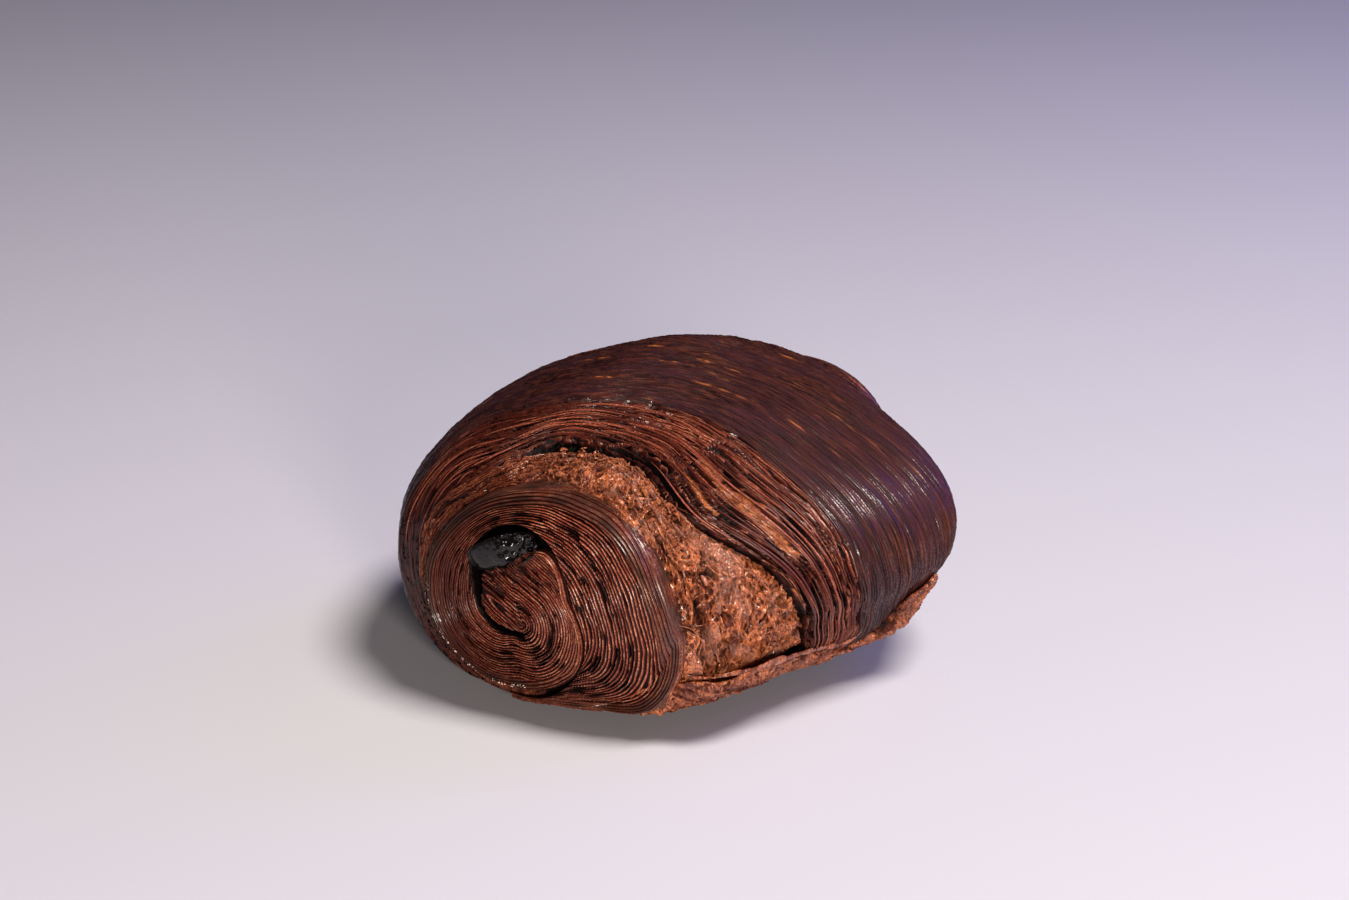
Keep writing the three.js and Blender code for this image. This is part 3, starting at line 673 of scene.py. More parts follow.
band = {
    "rows": {-1: 296, 1: 120}, "columns": {-1: 334, 1: 240}, "layers": 38, "bundles": 8.5,
    "innerInset": 0.25, "narrowest": 1.5,
    # share of the columns, angle; closer together on the flank that shows
    "turns": [(0, -100), (0.1, -45), (0.62, 100), (0.86, 180), (1, 260)],
    # by row, turned in at its edges: share of the way from the crumb to the crust, and depth in mm
    "shares": [(0, 0), (0.05, 0), (0.97, 1.05), (0.985, 1.05), (1, 0)],
    "sinks": [(0, 3.6), (0.045, 0.4), (0.05, 0), (0.97, 0), (0.985, 1.6), (1, 3.6)], "wallStands": 0.45,
    "sink": 0.32, "sinkFades": (1, 0.8), "stepUnder": 0.05,  # how far it lies under the outline
    "style": {"wander": 1.1, "wanderLength": 5, "gapLength": 2.3, "shut": 0.0, "edge": 0.22,
              "gapBase": 0.72, "gapShare": 0.5, "dark": 0.7, "depth": 0.42, "openDepth": 1.2,
              "uneven": 0.2, "crinkle": 0.1, "toneVaries": 0.4},
    "bundle": {"wander": 0.8, "wanderLength": 9, "gapLength": 4.5, "shut": 0.2, "edge": 0.2,
               "gapBase": 0.05, "gapShare": 0.55, "dark": 1, "depth": 0, "openDepth": 1.7,
               "uneven": 0.3, "crinkle": 0, "toneVaries": 0},
    "looseAngle": 0, "looseSpread": 32, "looseness": 0.3,  # where the bundles stand apart most
    # open pockets between leaves: angle, share from the crumb, half length in degrees, half width and depth
    # in mm, and the change of share over the half length. Those shallower than this show the crumb.
    "crumbShows": 1.5,
    "pockets": {
        -1: [(42, 0.02, 20, 1.6, 3.4, -0.03), (44, 0.2, 9, 0.8, 2.6, 0.03), (31, 0.5, 8, 0.9, 2.8, -0.02),
             (19, 0.47, 15, 2.8, 1.3, 0.12), (7, 0.58, 6, 0.8, 2.6, 0.08), (27, 0.26, 8, 0.9, 1.3, 0.06),
             (55, 0.5, 9, 0.45, 1.8, 0.0), (70, 0.34, 10, 0.5, 1.8, 0.02), (88, 0.3, 10, 0.5, 1.6, 0.0),
             (355, 0.28, 9, 0.6, 2.6, 0.03), (352, 0.52, 10, 0.5, 2.4, 0.02), (354, 0.72, 9, 0.4, 2.0, 0.0),
             (344, 0.2, 6, 0.6, 2.4, 0.0), (63, 0.15, 7, 0.8, 2.4, 0.0), (1, 0.12, 8, 0.7, 2.8, 0.05),
             (104, 0.42, 9, 0.6, 2.0, 0.03), (122, 0.3, 10, 0.7, 2.0, -0.03), (138, 0.55, 9, 0.5, 1.8, 0.02),
             (112, 0.68, 8, 0.4, 1.4, 0.0), (80, 0.6, 8, 0.4, 1.5, 0.0)],
        1: [(30, 0.4, 10, 0.7, 2, 0.03), (75, 0.55, 9, 0.5, 1.6, 0), (5, 0.5, 9, 0.6, 1.8, 0),
            (150, 0.5, 9, 0.5, 1.6, 0)],
    },
    "pocketWave": 0.3, "pocketWavePitch": 4, "pocketPush": 2.5,  # leaves bend round a pocket
    # painted shade: deeper pockets and the pits in their floors darker
    "pocketSides": (1, 0.6), "pocketTips": (0, 0.35), "pocketFrom": (0, 0.5), "pocketDark": (0.1, 0.9),
    "floorRough": 0.3, "floorRougher": 0.4, "floorDark": 0.3,
    # the torn edge down to the crumb
    "tornRows": 0.06, "tornFrom": (0, 0.6), "tornRough": 0.6, "tornCrumb": 0.7, "plainBelow": 0.5,
    # painted shade on the torn edge, more the deeper it sinks
    "deepDark": 0.5,
    "crumbNear": (0.2, 0), "crumbPatches": (-0.2, 0.5), "crumbMost": 0.6,
    "glazeFrom": (0.93, 1),
    "tone": 0.88, "baked": 0.7, "bakedFrom": (40, 75), "bakedTo": (250, 200),  # darker over top and left
}


def bandAcross(end, angle, share):  # y of a share of the way from the crumb to the crust, and the width
    outer = around(end["bandOuter"], angle)
    inner = np.maximum(around(end["bandInner"], angle) - band["innerInset"], outer + band["narrowest"])
    return end["side"] * (inner + (outer - inner) * share), inner - outer


def bandRelief(end, angle, share):
    side = end["side"]
    y, width = bandAcross(end, angle, share)
    ring = ringOf(angle)
    packed, deep, shallow = share, 0 * share, 0 * share
    for place, middle, length, half, depth, slope in band["pockets"][side]:
        turn = turnFrom(place, angle) / length
        within = np.abs(turn) < 1
        wave = 1 + band["pocketWave"] * noise(*ring / band["pocketWavePitch"], 0 * angle + place, 43)
        reach = half * wave / width * np.sqrt(np.clip(1 - turn ** 2, 0, 1))
        off = share - middle - slope * turn
        push = reach * bump(np.maximum(np.abs(off) - reach, 0), band["pocketPush"] * half / width)
        packed = packed - np.sign(off) * np.minimum(np.abs(off), push) * within
        hollow = smoothStep(*band["pocketSides"], np.abs(off) / np.maximum(reach, 1e-6)) * within
        deep = np.maximum(deep, hollow * depth * smoothStep(*band["pocketTips"], 1 - turn ** 2))
        shallow = np.maximum(shallow, hollow * (depth < band["crumbShows"]))
    relief, marks = layerRelief(packed * band["layers"] + side, ring, band["style"], 41 + side)
    loose = band["looseness"] * bump(turnFrom(band["looseAngle"], angle), band["looseSpread"])
    bundle = dict(band["bundle"], shut=band["bundle"]["shut"] - loose)
    coarse, coarseMarks = layerRelief(packed * band["bundles"] + 0.5, ring, bundle, 47 + side)
    inPocket = smoothStep(*band["pocketFrom"], deep)
    rough, floorMarks = crumbRelief(skin(y, angle, -deep))
    pocketFloor = (band["floorRough"] + band["floorRougher"] * shallow) * rough - deep
    relief = (relief + coarse) * (1 - inPocket) + pocketFloor * inPocket
    # painted shade in the deeper pockets
    dark = smoothStep(*band["pocketDark"], deep) * (1 - shallow)
    pocketShade = np.clip(band["floorDark"] * floorMarks["creviceShade"] + dark, 0, 1)
    creviceShade = np.maximum(marks["creviceShade"], coarseMarks["creviceShade"])
    marks["creviceShade"] = creviceShade * (1 - inPocket) + inPocket * pocketShade
    return y, relief, marks, inPocket


def bandPlace(end):
    def place(u, v, which):
        angle = straightAlong(band["turns"], u) if end is nearEnd else 360 * u + roll["seam"]
        share, sink = straightAlong(band["shares"], v), straightAlong(band["sinks"], v)
        y, relief, marks, inPocket = bandRelief(end, angle, share)
        torn = smoothStep(*band["tornFrom"], sink) * (v < band["tornRows"])
        rough, tornMarks = crumbRelief(skin(y, angle, -sink))
        y = y + end["side"] * band["tornRough"] * rough * torn
        low = band["sink"] * smoothStep(*band["sinkFades"], share) - band["stepUnder"]
        relief = relief * (1 - np.clip(sink / band["plainBelow"], 0, 1))
        lift = surfaceLift(angle, y) - low + relief - sink
        patches = smoothStep(*band["crumbPatches"], noise(*ringOf(angle), share * 4, 45))
        nearCrumb = smoothStep(*band["crumbNear"], share) * patches
        crumbly = inPocket + band["crumbMost"] * nearCrumb + band["tornCrumb"] * torn
        marks["crumb"] = np.clip(crumbly, 0, 1)
        # painted shade on the torn edge, more the deeper it sinks
        tornShade = np.clip(tornMarks["creviceShade"] + band["deepDark"] * sink, 0, 1)
        marks["creviceShade"] = marks["creviceShade"] * (1 - torn) + tornShade * torn
        marks["glaze"] = smoothStep(*band["glazeFrom"], share)
        turn = fromSeam(angle)
        baked = smoothStep(*band["bakedFrom"], turn) * smoothStep(*band["bakedTo"], turn)
        marks["tone"] = marks["tone"] * (band["tone"] - band["baked"] * baked)
        return skin(y, angle, lift, band["wallStands"] * sink), marks
    return place


endPieces(("near_layers", "far_layers"), band, bandPlace, layersMaterial)


# Rolled ends: the sheet's edge wound inward as one ribbon, with its crust as the outer rim

ribbon = {
    "columns": {-1: 480, 1: 300}, "rows": {-1: 206, 1: 110},
    # share of the columns, angle; close together where the crack ends
    "turns": [(0, -100), (0.5, 260), (0.53, 287), (0.65, 294), (0.8, 420), (1, 655)],
    "wallShare": 0.2, "innerShare": 0.06,  # of the rows
    "wallDeeper": 1.5, "wallEase": 1.8, "gapDeeper": 1,
    "outer": [(-100, 18.4), (-80, 18.6), (-60, 20.4), (-48, 23.4), (-36, 26.4), (-20, 27), (0, 25.2),
              (30, 22), (60, 17.8), (90, 15.3), (120, 14.8), (150, 15.6), (180, 18), (210, 19.4),
              (240, 18), (270, 15.9), (300, 15.2), (315, 15), (330, 14.1), (342, 12.7), (355, 10.9),
              (366, 9.9), (390, 9.8), (410, 9.4), (430, 7.2), (450, 4.9), (480, 4.6), (500, 5.4),
              (518, 6.1), (540, 5.9), (571, 6.7), (600, 6.2), (630, 6), (644, 6.3), (655, 6.7)],
    "inner": [(-100, 17.4), (-80, 17), (-60, 15.9), (-45, 15.2), (-30, 14.45), (-18, 13.05), (0, 10.9),
              (15, 10.35), (30, 10.25), (60, 10.5), (90, 10.2), (135, 9.4), (165, 8.2), (180, 7.3),
              (225, 7.2), (270, 6.7), (288, 6.5), (293, 0.1), (655, 0.1)],
    "closedFrom": 292,  # the inner leaves fill the centre from this angle on
    "corner": 1.2, "innerCorner": 0.45,
    "gapDepth": 3, "gapShallow": 1.3, "gapOpens": (340, 380),
    # painted shade in the gap between turns and on the inner turn's outer wall
    "gapDark": 0.9, "wallDark": 0.8,
    "dish": 0.5, "dishOuter": (0.4, 3), "dishInner": (0, 2),  # how far the layers lie below the rim
    "pitch": 0.483, "pitchWidth": 10, "narrowest": 3,
    "style": {"wander": 0.4, "wanderLength": 4, "gapLength": 2, "shut": 0.06, "edge": 0.4, "gapBase": 0.8,
              "gapShare": 0.4, "dark": 0.6, "depth": 0.28, "openDepth": 0.7, "uneven": 0.12,
              "crinkle": 0.08, "toneVaries": 0.15},
    "innerTurn": (255, 320),
    "rimWidth": 2.3, "rimNarrower": 1.2, "rimSoft": 0.75, "rimEnds": (445, 415),
    "rimPitch": 0.6, "rimDepth": 0.26, "rimBend": 1.5, "rimBendPitch": 5, "rimBendAcross": 4,
    "speckle": 0.07, "specklePitch": 0.45,
    # painted shade in the rim's grooves
    "rimDark": 0.6, "rimDarkBelow": 0.2, "dishFades": (420, 440),
    "glaze": 0.8, "glazeVaries": 0.3, "glazePitch": 3,
    "glazeLoss": 0.6, "paler": (250, 330),  # on the inner turn's crust
    # inside, the leaves bend round this place, from the end's centre, and run straight towards an angle
    "foldCentre": (1.5, -4.7), "foldAngle": 150, "foldLine": 0.12, "foldCount": 24.35,
    "foldPitch": 0.4635, "folded": (255, 286),
    # painted shade: less of it in the gaps on the inner turn
    "clearer": 0.3, "clearerOuter": (5, 3), "clearerEnds": (440, 400),  # lighter gaps on the inner turn
    "crumb": 0.9, "crumbPitch": 2.5, "crumbAngle": 318, "crumbSpread": 20, "crumbWidth": (4.5, 1),
    # paler on the inner turn's rim; painted light to the right and painted shade to the left
    "rimPale": 0.3, "rightPaintedLight": 0.25, "rightFrom": (-2, 8), "leftPaintedShade": 0.5, "leftFrom": (-3, -14),
}


def softRamp(x, corner):
    return (np.sqrt(x * x + corner * corner) + x) / 2


def foldPhase(x, z):  # leaves counted inwards to the fold
    foldX, foldZ = x - ribbon["foldCentre"][0], z - ribbon["foldCentre"][1]
    turn = math.radians(ribbon["foldAngle"])
    straight = foldX * math.cos(turn) + foldZ * math.sin(turn)
    aside = foldZ * math.cos(turn) - foldX * math.sin(turn)
    fold = np.hypot(np.where(straight > 0, ribbon["foldLine"], 1) * straight, aside)
    return ribbon["foldCount"] - fold / ribbon["foldPitch"]


def ribbonPlace(end):
    def place(u, v, which):
        angle = straightAlong(ribbon["turns"], u)
        outer, inner = along(ribbon["outer"], angle), along(ribbon["inner"], angle)
        width = outer - inner
        first = angle - ribbon["turns"][0][1] < 360
        opened = smoothStep(*ribbon["gapOpens"], angle)
        gap = ribbon["gapShallow"] + (ribbon["gapDepth"] - ribbon["gapShallow"]) * opened

        # across the ribbon: up the outer wall, over the face and down into the gap
        rimPlace = dome(end, outer * end["scale"] / ovalRadius(end, angle))
        wall = end["edge"] + rimPlace - around(end["foot"], angle) + ribbon["wallDeeper"]
        wall = np.where(first, wall, gap + ribbon["gapDeeper"])
        start, stop = ribbon["wallShare"], 1 - ribbon["innerShare"]
        across = (v - start) / (stop - start) * width
        down = -wall * np.clip(1 - v / start, 0, 1) ** ribbon["wallEase"]
        across = np.where(v < start, down, across)
        inGap = width + (v - stop) / (1 - stop) * (gap + ribbon["gapDeeper"])
        across = np.where(v > stop, inGap, across)
        innerCorner = ribbon["innerCorner"]
        corner = np.where(first, ribbon["corner"], innerCorner)
        back = softRamp(-across, corner) - 0.5 * corner + softRamp(across - width, innerCorner)
        inset = np.clip(softRamp(across, corner) - softRamp(across - width, innerCorner), 0, None)
        inset = np.minimum(inset, width)
        outward = np.clip(-across / np.hypot(across, corner), 0, 1)
        inward = np.clip((across - width) / np.hypot(across - width, innerCorner), 0, 1)
        inward = inward * (angle < ribbon["closedFrom"])
        face = 1 - np.clip(outward + inward, 0, 1)
        radius = outer - inset
        x, z = radius * np.cos(np.radians(angle)), radius * np.sin(np.radians(angle))

        # leaves on the face, and fine lines on the rim
        pitch = ribbon["pitch"] * np.sqrt(np.clip(width, ribbon["narrowest"], None) / ribbon["pitchWidth"])
        folded = smoothStep(*ribbon["folded"], angle)
        phase = np.maximum(across, 0) / pitch * (1 - folded) + foldPhase(x, z) * folded
        flat = np.stack([x, z])
        relief, marks = layerRelief(phase, flat, ribbon["style"], 51)
        innerTurn = smoothStep(*ribbon["innerTurn"], angle)
        rimWidth = ribbon["rimWidth"] - ribbon["rimNarrower"] * innerTurn
        rim = smoothStep(rimWidth, rimWidth * ribbon["rimSoft"], across)
        rim = rim * smoothStep(*ribbon["rimEnds"], angle)
        bend = noise(*flat / ribbon["rimBendPitch"], across / ribbon["rimBendAcross"], 55)
        wave = across / ribbon["rimPitch"] * 2 * math.pi + ribbon["rimBend"] * bend
        lines = ribbon["rimDepth"] * np.cos(wave)
        speck = ribbon["specklePitch"]
        lines = lines + ribbon["speckle"] * noise(*flat / speck, across / speck, 58)
        dish = smoothStep(*ribbon["dishOuter"], across) * smoothStep(*ribbon["dishInner"], width - across)
        dish = ribbon["dish"] * dish * (1 - smoothStep(*ribbon["dishFades"], angle))
        height = relief * (1 - rim) * face + lines * rim - dish
        radius = np.maximum(radius + height * outward, 0.05)
        points = facePoint(end, radius, angle, back - height * (1 - outward))

        # marks that colour it
        marks["leafNumber"] = marks["leafNumber"] * (1 - rim) + across / ribbon["rimPitch"] * rim
        # painted shade: leaf gaps, the gap between turns, the inner turn's wall and the rim's grooves
        creviceShade = marks["creviceShade"] * (1 - rim) * face + ribbon["gapDark"] * inward
        creviceShade = creviceShade + ribbon["wallDark"] * outward * (1 - first)
        clearer = smoothStep(*ribbon["clearerOuter"], across) * smoothStep(*ribbon["clearerEnds"], angle)
        creviceShade = creviceShade * (1 - ribbon["clearer"] * innerTurn * clearer)
        grooves = np.clip(-lines / ribbon["rimDepth"] - ribbon["rimDarkBelow"], 0, 1)
        marks["creviceShade"] = np.clip(creviceShade + ribbon["rimDark"] * rim * grooves, 0, 1)
        uneven = noise(*flat / ribbon["glazePitch"], across, 56)
        glaze = ribbon["glaze"] + ribbon["glazeVaries"] * uneven
        fade = 1 - ribbon["glazeLoss"] * smoothStep(*ribbon["paler"], angle)
        marks["glaze"] = np.clip(rim * fade * glaze, 0, 1)
        uneven = 0.5 + 0.5 * noise(*flat / ribbon["crumbPitch"], across, 57)
        low = bump(angle - ribbon["crumbAngle"], ribbon["crumbSpread"])
        marks["crumb"] = ribbon["crumb"] * uneven * low * smoothStep(*ribbon["crumbWidth"], across)
        # painted light on the roll's right, painted shade on its left
        toRight = smoothStep(*ribbon["rightFrom"], x)
        lighter = ribbon["rimPale"] * rim * innerTurn + ribbon["rightPaintedLight"] * toRight
        darker = 1 - ribbon["leftPaintedShade"] * smoothStep(*ribbon["leftFrom"], x)
        marks["tone"] = marks["tone"] * darker + lighter
        return points, marks
    return place


endPieces(("near_spiral", "far_spiral"), ribbon, ribbonPlace, layersMaterial)


# Open crumb's surface

def crumbBase(end, angle, share):  # smooth crumb surface, how open it is there, and its normal
    foot = facePoint(end, along(ribbon["outer"], fromSeam(angle)), angle, 0 * angle)
    raised = crumb["raise"] * bump(turnFrom(crumb["raiseAngle"], angle), crumb["raiseSpread"])
    foot[:, 1] = end["side"] * (around(end["foot"], angle) + raised * (end is nearEnd))
    y = bandAcross(end, angle, 0 * angle)[0]
    openness = smoothStep(*crumb["openFrom"], around(end["foot"], angle) - np.abs(y))
    rim = skin(y, angle, crumb["rimFollows"] * surfaceLift(angle, y) - roll["crumbDip"] * openness)
    points = foot + (rim - foot) * share[:, None]
    a = np.radians(angle)
    run = rim - foot
    outward = np.hypot(run[:, 1], crumb["leastOut"])
    endward = end["side"] * np.abs(run[:, 0] * np.cos(a) + run[:, 2] * np.sin(a))
    normal = unit(np.stack([outward * np.cos(a), endward, outward * np.sin(a)], -1))
    return points, openness, normal


def crumbPlace(end):
    def place(u, v, which):
        angle = 360 * u + roll["seam"]
        if end is nearEnd:
            angle = angle + crumb["turnSwing"] * np.sin(np.radians(angle + crumb["turnStart"]))
        share, sink = straightAlong(crumb["shares"], v), straightAlong(crumb["sinks"], v)
        points, openness, normal = crumbBase(end, angle, share)
        swell = roll["crumbSwell"] * np.sin(math.pi * np.clip(share, 0, 1))
        rough, marks = crumbRelief(points)
        layers, layerMarks = layerRelief(share * crumb["layers"], ringOf(angle), band["style"], 75)
        turn = fromSeam(angle)
        wander = crumb["leafyWander"] * noise(*ringOf(angle, 12), share * 6, 76)
        leafy = smoothStep(*crumb["leafyAngles"], turn + wander)
        leafy = np.maximum(1 - openness, crumb["leafyMost"] * leafy)
        off = share - crumb["fold"] - crumb["foldWander"] * noise(*ringOf(angle, 8), 0 * share, 77)
        upTo = smoothStep(*crumb["foldTop"], turn)
        crease = bump(off, crumb["foldWidth"]) * upTo * smoothStep(*crumb["foldFoot"], turn)
        ridge = crumb["ridgeHeight"] * bump(off + crumb["ridgeAside"], crumb["ridgeWidth"]) * upTo
        least = crumb["tidyRough"]
        rough = rough * (least + (1 - least) * smoothStep(*crumb["tidyTo"], share))
        lift = openness * (swell + ridge - crumb["foldDepth"] * crease)
        lift = lift + rough * (1 - leafy) + leafy * layers - sink
        points = points + normal * lift[:, None]
        points[:, 2] = np.maximum(points[:, 2], crumb["wallStands"] * sink)
        marks = {name: values * (1 - leafy) for name, values in marks.items()}
        marks["leaf"] = leafy
        # painted shade in the leaves' gaps and in the crease
        creviceShade = marks["creviceShade"] + leafy * layerMarks["creviceShade"]
        marks["creviceShade"] = np.clip(creviceShade + crumb["foldDark"] * crease, 0, 1)
        marks["wall"] = marks["wall"] + leafy * layerMarks["tone"]
        return points, marks
    return place


endPieces(("near_crumb", "far_crumb"), crumb, crumbPlace, crumbMaterial)


# Loose leaves and threads of dough: thin flat tubes laid along a surface

leaves = {
    "flakes": {"count": 130, "angles": (-30, 85), "shares": (0.03, 0.97), "turn": 4, "turnVaries": 3,
               "drift": 0.1, "lift": (-0.1, 0.5), "arch": (0, 0.5), "width": (0.15, 0.5),
               "thick": (0.05, 0.09), "twist": 1.1, "steps": 9, "seed": 3},
    "threads": {"count": 100, "angles": (-30, 75), "shares": (0.02, 0.98), "turn": 3, "turnVaries": 4,
                "drift": 0.2, "lift": (0.1, 0.6), "arch": (0.1, 0.7), "width": (0.05, 0.1),
                "thick": (0.04, 0.07), "twist": 1, "steps": 8, "seed": 4},
    "strands": {"count": 150, "angles": (-18, 165), "shares": (0.02, 0.9), "turn": 24, "turnVaries": 14,
                "drift": 0.05, "lift": (-0.1, 0.3), "arch": (0, 0.45), "width": (0.08, 0.2),
                "thick": (0.06, 0.12), "twist": 0.7, "steps": 36, "seed": 6},
    "sides": 6, "moistSheen": (-0.6, 1),
    "snake": 0.6, "lean": 0.45, "widthVaries": 0.35, "twistStart": 0.4,
    "light": 0.45, "lightVaries": 0.4, "tone": 0.5, "toneVaries": 0.5, "dark": 0.1,
}


def drawLeaves(style):
    rng = np.random.default_rng(style["seed"])
    count = style["count"]
    leaf = {name: rng.uniform(*style[name], count) for name in ("lift", "arch", "width", "thick")}
    leaf["angle"] = rng.uniform(*style["angles"], count)
    leaf["share"] = rng.uniform(*style["shares"], count)
    leaf["turn"] = style["turn"] + style["turnVaries"] * rng.uniform(-1, 1, count)
    leaf["drift"] = style["drift"] * rng.uniform(-1, 1, count)
    leaf["twist"] = style["twist"] * rng.uniform(-1, 1, count)
    leaf["moistSheen"] = rng.uniform(*leaves["moistSheen"], count)
    return leaf


def leavesOn(surface, leaf):
    def place(u, v, which):
        own = {name: values[which] for name, values in leaf.items()}

        def at(t):
            angle = own["angle"] + own["turn"] * (t - 0.5)
            snake = 1 + leaves["snake"] * np.sin(5 * t + which)
            return surface(angle, own["share"] + own["drift"] * (t - 0.5) * snake)

        here = at(v)
        tangent = unit(at(v + 0.01) - here)
        a = np.radians(own["angle"] + own["turn"] * (v - 0.5))
        normal = np.stack([np.cos(a), -leaves["lean"] + 0 * a, np.sin(a)], -1)
        normal = unit(normal - tangent * np.sum(normal * tangent, 1)[:, None])
        side = np.cross(tangent, normal)
        taper = np.sqrt(np.clip(np.sin(math.pi * v), 0, 1))
        uneven = 1 + leaves["widthVaries"] * noise(v * 6, which * 3.1, 0 * v, 81)
        wide = own["width"] * uneven * taper * np.cos(2 * math.pi * u)
        thick = own["thick"] * taper * np.sin(2 * math.pi * u)
        twist = own["twist"] * (leaves["twistStart"] + v)
        rise = own["lift"] + own["arch"] * 4 * v * (1 - v) + wide * np.sin(twist) + thick * np.cos(twist)
        across = wide * np.cos(twist) - thick * np.sin(twist)
        marks = {"wall": leaves["light"] + leaves["lightVaries"] * np.sin(which * 2.4),
                 "tone": leaves["tone"] + leaves["toneVaries"] * np.sin(which * 1.7),
                 "moistSheen": own["moistSheen"], "creviceShade": leaves["dark"] + 0 * v, "leaf": 0 * v}
        return here + side * across[:, None] + normal * rise[:, None], marks
    return place


def crumbSurface(angle, share):
    points, openness, normal = crumbBase(nearEnd, angle, share)
    swell = openness * roll["crumbSwell"] * np.sin(math.pi * np.clip(share, 0, 1))
    return points + normal * swell[:, None]


def bandSurface(angle, share):
    y = bandAcross(nearEnd, angle, share)[0]
    return skin(y, angle, surfaceLift(angle, y) - band["sink"])


for name, surface, material in (("flakes", crumbSurface, crumbMaterial),
                                ("threads", crumbSurface, crumbMaterial),
                                ("strands", bandSurface, layersMaterial)):
    style = leaves[name]
    place = leavesOn(surface, drawLeaves(style))
    piece = gridPiece(name, leaves["sides"], style["steps"], place, style["count"])
    finishPiece(piece, material, "pastry")


# Sole: the sheet's torn lower edge along the right flank, with a thin lip over it and a loose flap

sole = {
    # y and angle of its upper edge
    "upper": [(-44.5, 336), (-43, 337), (-41, 341), (-36, 342.5), (-22, 341), (-13, 339), (-9, 338),
              (-8, 339), (-6, 342), (-4, 346), (-2, 350), (1, 352), (4, 351), (7, 347)],
    "upperRagged": 0.8, "raggedPitch": 2.5,
    "under": 9,  # how far it reaches below the flank's edge, in degrees
    "thickness": 0.45, "inside": 0.7, "lift": 0.1, "relief": 0.9, "taper": 8,
    "edgeRound": 0.8, "faceRound": 0.5, "ground": 0.15,
    "flap": 0.9, "flapPlace": -0.5, "flapLength": 4.5, "flapAngles": (338, 350),
    # torn lengthwise
    "streakLength": 4, "streakTurn": 1.1, "streakWall": 0.3, "streakDark": 0.5, "streakFrom": (0.3, 0.7),
    "darkest": 0.9, "moistSheen": 0.2,
    "lip": [(-44, 343), (-43, 341), (-42, 341.5), (-40, 343.5), (-36, 344), (-28, 343), (-22, 342.5),
            (-14, 341), (-9, 343)],
    "lipWidth": 0.55, "lipWidthVaries": 0.5, "lipThickness": 0.2, "lipLift": 0.3, "lipLiftVaries": 0.3,
    "lipWaves": 24, "lipLiftWaves": 14, "lipLight": 0.5, "lipLightVaries": 0.4, "lipLeaf": 0.3,
    "sides": 110, "lipSides": 8, "steps": 330,
}


def alongFlank(u, t, path, width, thick, lift):  # a flat tube along y
    y = path[0][0] + (path[-1][0] - path[0][0]) * t
    angle = along(path, y)
    here = skin(y, angle, surfaceLift(angle, y) + lift)
    a = np.radians(angle)
    normal = np.stack([np.cos(a), 0 * a, np.sin(a)], -1)
    side = np.stack([-np.sin(a), 0 * a, np.cos(a)], -1)
    c, s = np.cos(2 * math.pi * u), np.sin(2 * math.pi * u)
    return here + side * (width * c)[:, None] + normal * (thick * s)[:, None]


def solePlace(u, v, which):
    first, last = sole["upper"][0][0], sole["upper"][-1][0]
    y = first + (last - first) * v
    upper, lower = along(sole["upper"], y), along(roll["flankEdge"], y) - sole["under"]
    upper = upper + sole["upperRagged"] * noise(y / sole["raggedPitch"], 0 * y, 0 * y, 95)
    taper = np.clip(np.sin(math.pi * v) * sole["taper"], 0, 1) ** 0.5
    c, s = np.cos(2 * math.pi * u), np.sin(2 * math.pi * u)
    angle = (upper + lower) / 2 + (upper - lower) / 2 * np.sign(c) * np.abs(c) ** sole["edgeRound"] * taper
    rough, marks = crumbRelief(skin(y, angle, 0 * y))
    marks["moistSheen"] = sole["moistSheen"] * marks["moistSheen"]
    streaks = noise(y / sole["streakLength"], angle / sole["streakTurn"], 0 * y, 96)
    marks["leaf"] = 0.5 + 0.5 * streaks
    marks["wall"] = np.clip(marks["wall"] - sole["streakWall"] * streaks, 0, 1)
    # darker lengthwise streaks, laid into the painted-shade mark
    dark = sole["streakDark"] * smoothStep(*sole["streakFrom"], streaks)
    marks["creviceShade"] = np.clip(marks["creviceShade"] + dark, 0, sole["darkest"])
    flap = sole["flap"] * bump(y - sole["flapPlace"], sole["flapLength"])
    flap = flap * smoothStep(*sole["flapAngles"], angle)
    top = np.maximum(s, 0) ** sole["faceRound"] * (sole["thickness"] + sole["relief"] * rough)
    bottom = sole["inside"] * np.maximum(-s, 0) ** sole["faceRound"]
    lift = surfaceLift(angle, y) + sole["lift"] + flap + taper * (top - bottom)
    return skin(y, angle, lift, sole["ground"]), marks


def lipPlace(u, v, which):
    taper = np.sqrt(np.clip(np.sin(math.pi * v), 0, 1))
    wave = noise(v * sole["lipWaves"], 0 * v, 0 * v, 93)
    width = sole["lipWidth"] * (1 + sole["lipWidthVaries"] * wave) * taper
    rise = noise(v * sole["lipLiftWaves"], 0 * v + 5, 0 * v, 94)
    lift = sole["lipLift"] + sole["lipLiftVaries"] * rise
    points = alongFlank(u, v, sole["lip"], width, sole["lipThickness"] * taper, lift)
    light = sole["lipLight"] + sole["lipLightVaries"] * wave
    return points, {"wall": light, "moistSheen": 0 * u, "creviceShade": 0 * u, "leaf": sole["lipLeaf"] + 0 * u}


for name, sides, place in (("sole", sole["sides"], solePlace), ("sole_lip", sole["lipSides"], lipPlace)):
    finishPiece(gridPiece(name, sides, sole["steps"], place), crumbMaterial, "pastry")


# Chocolate baton, melted a little out of its bar shape

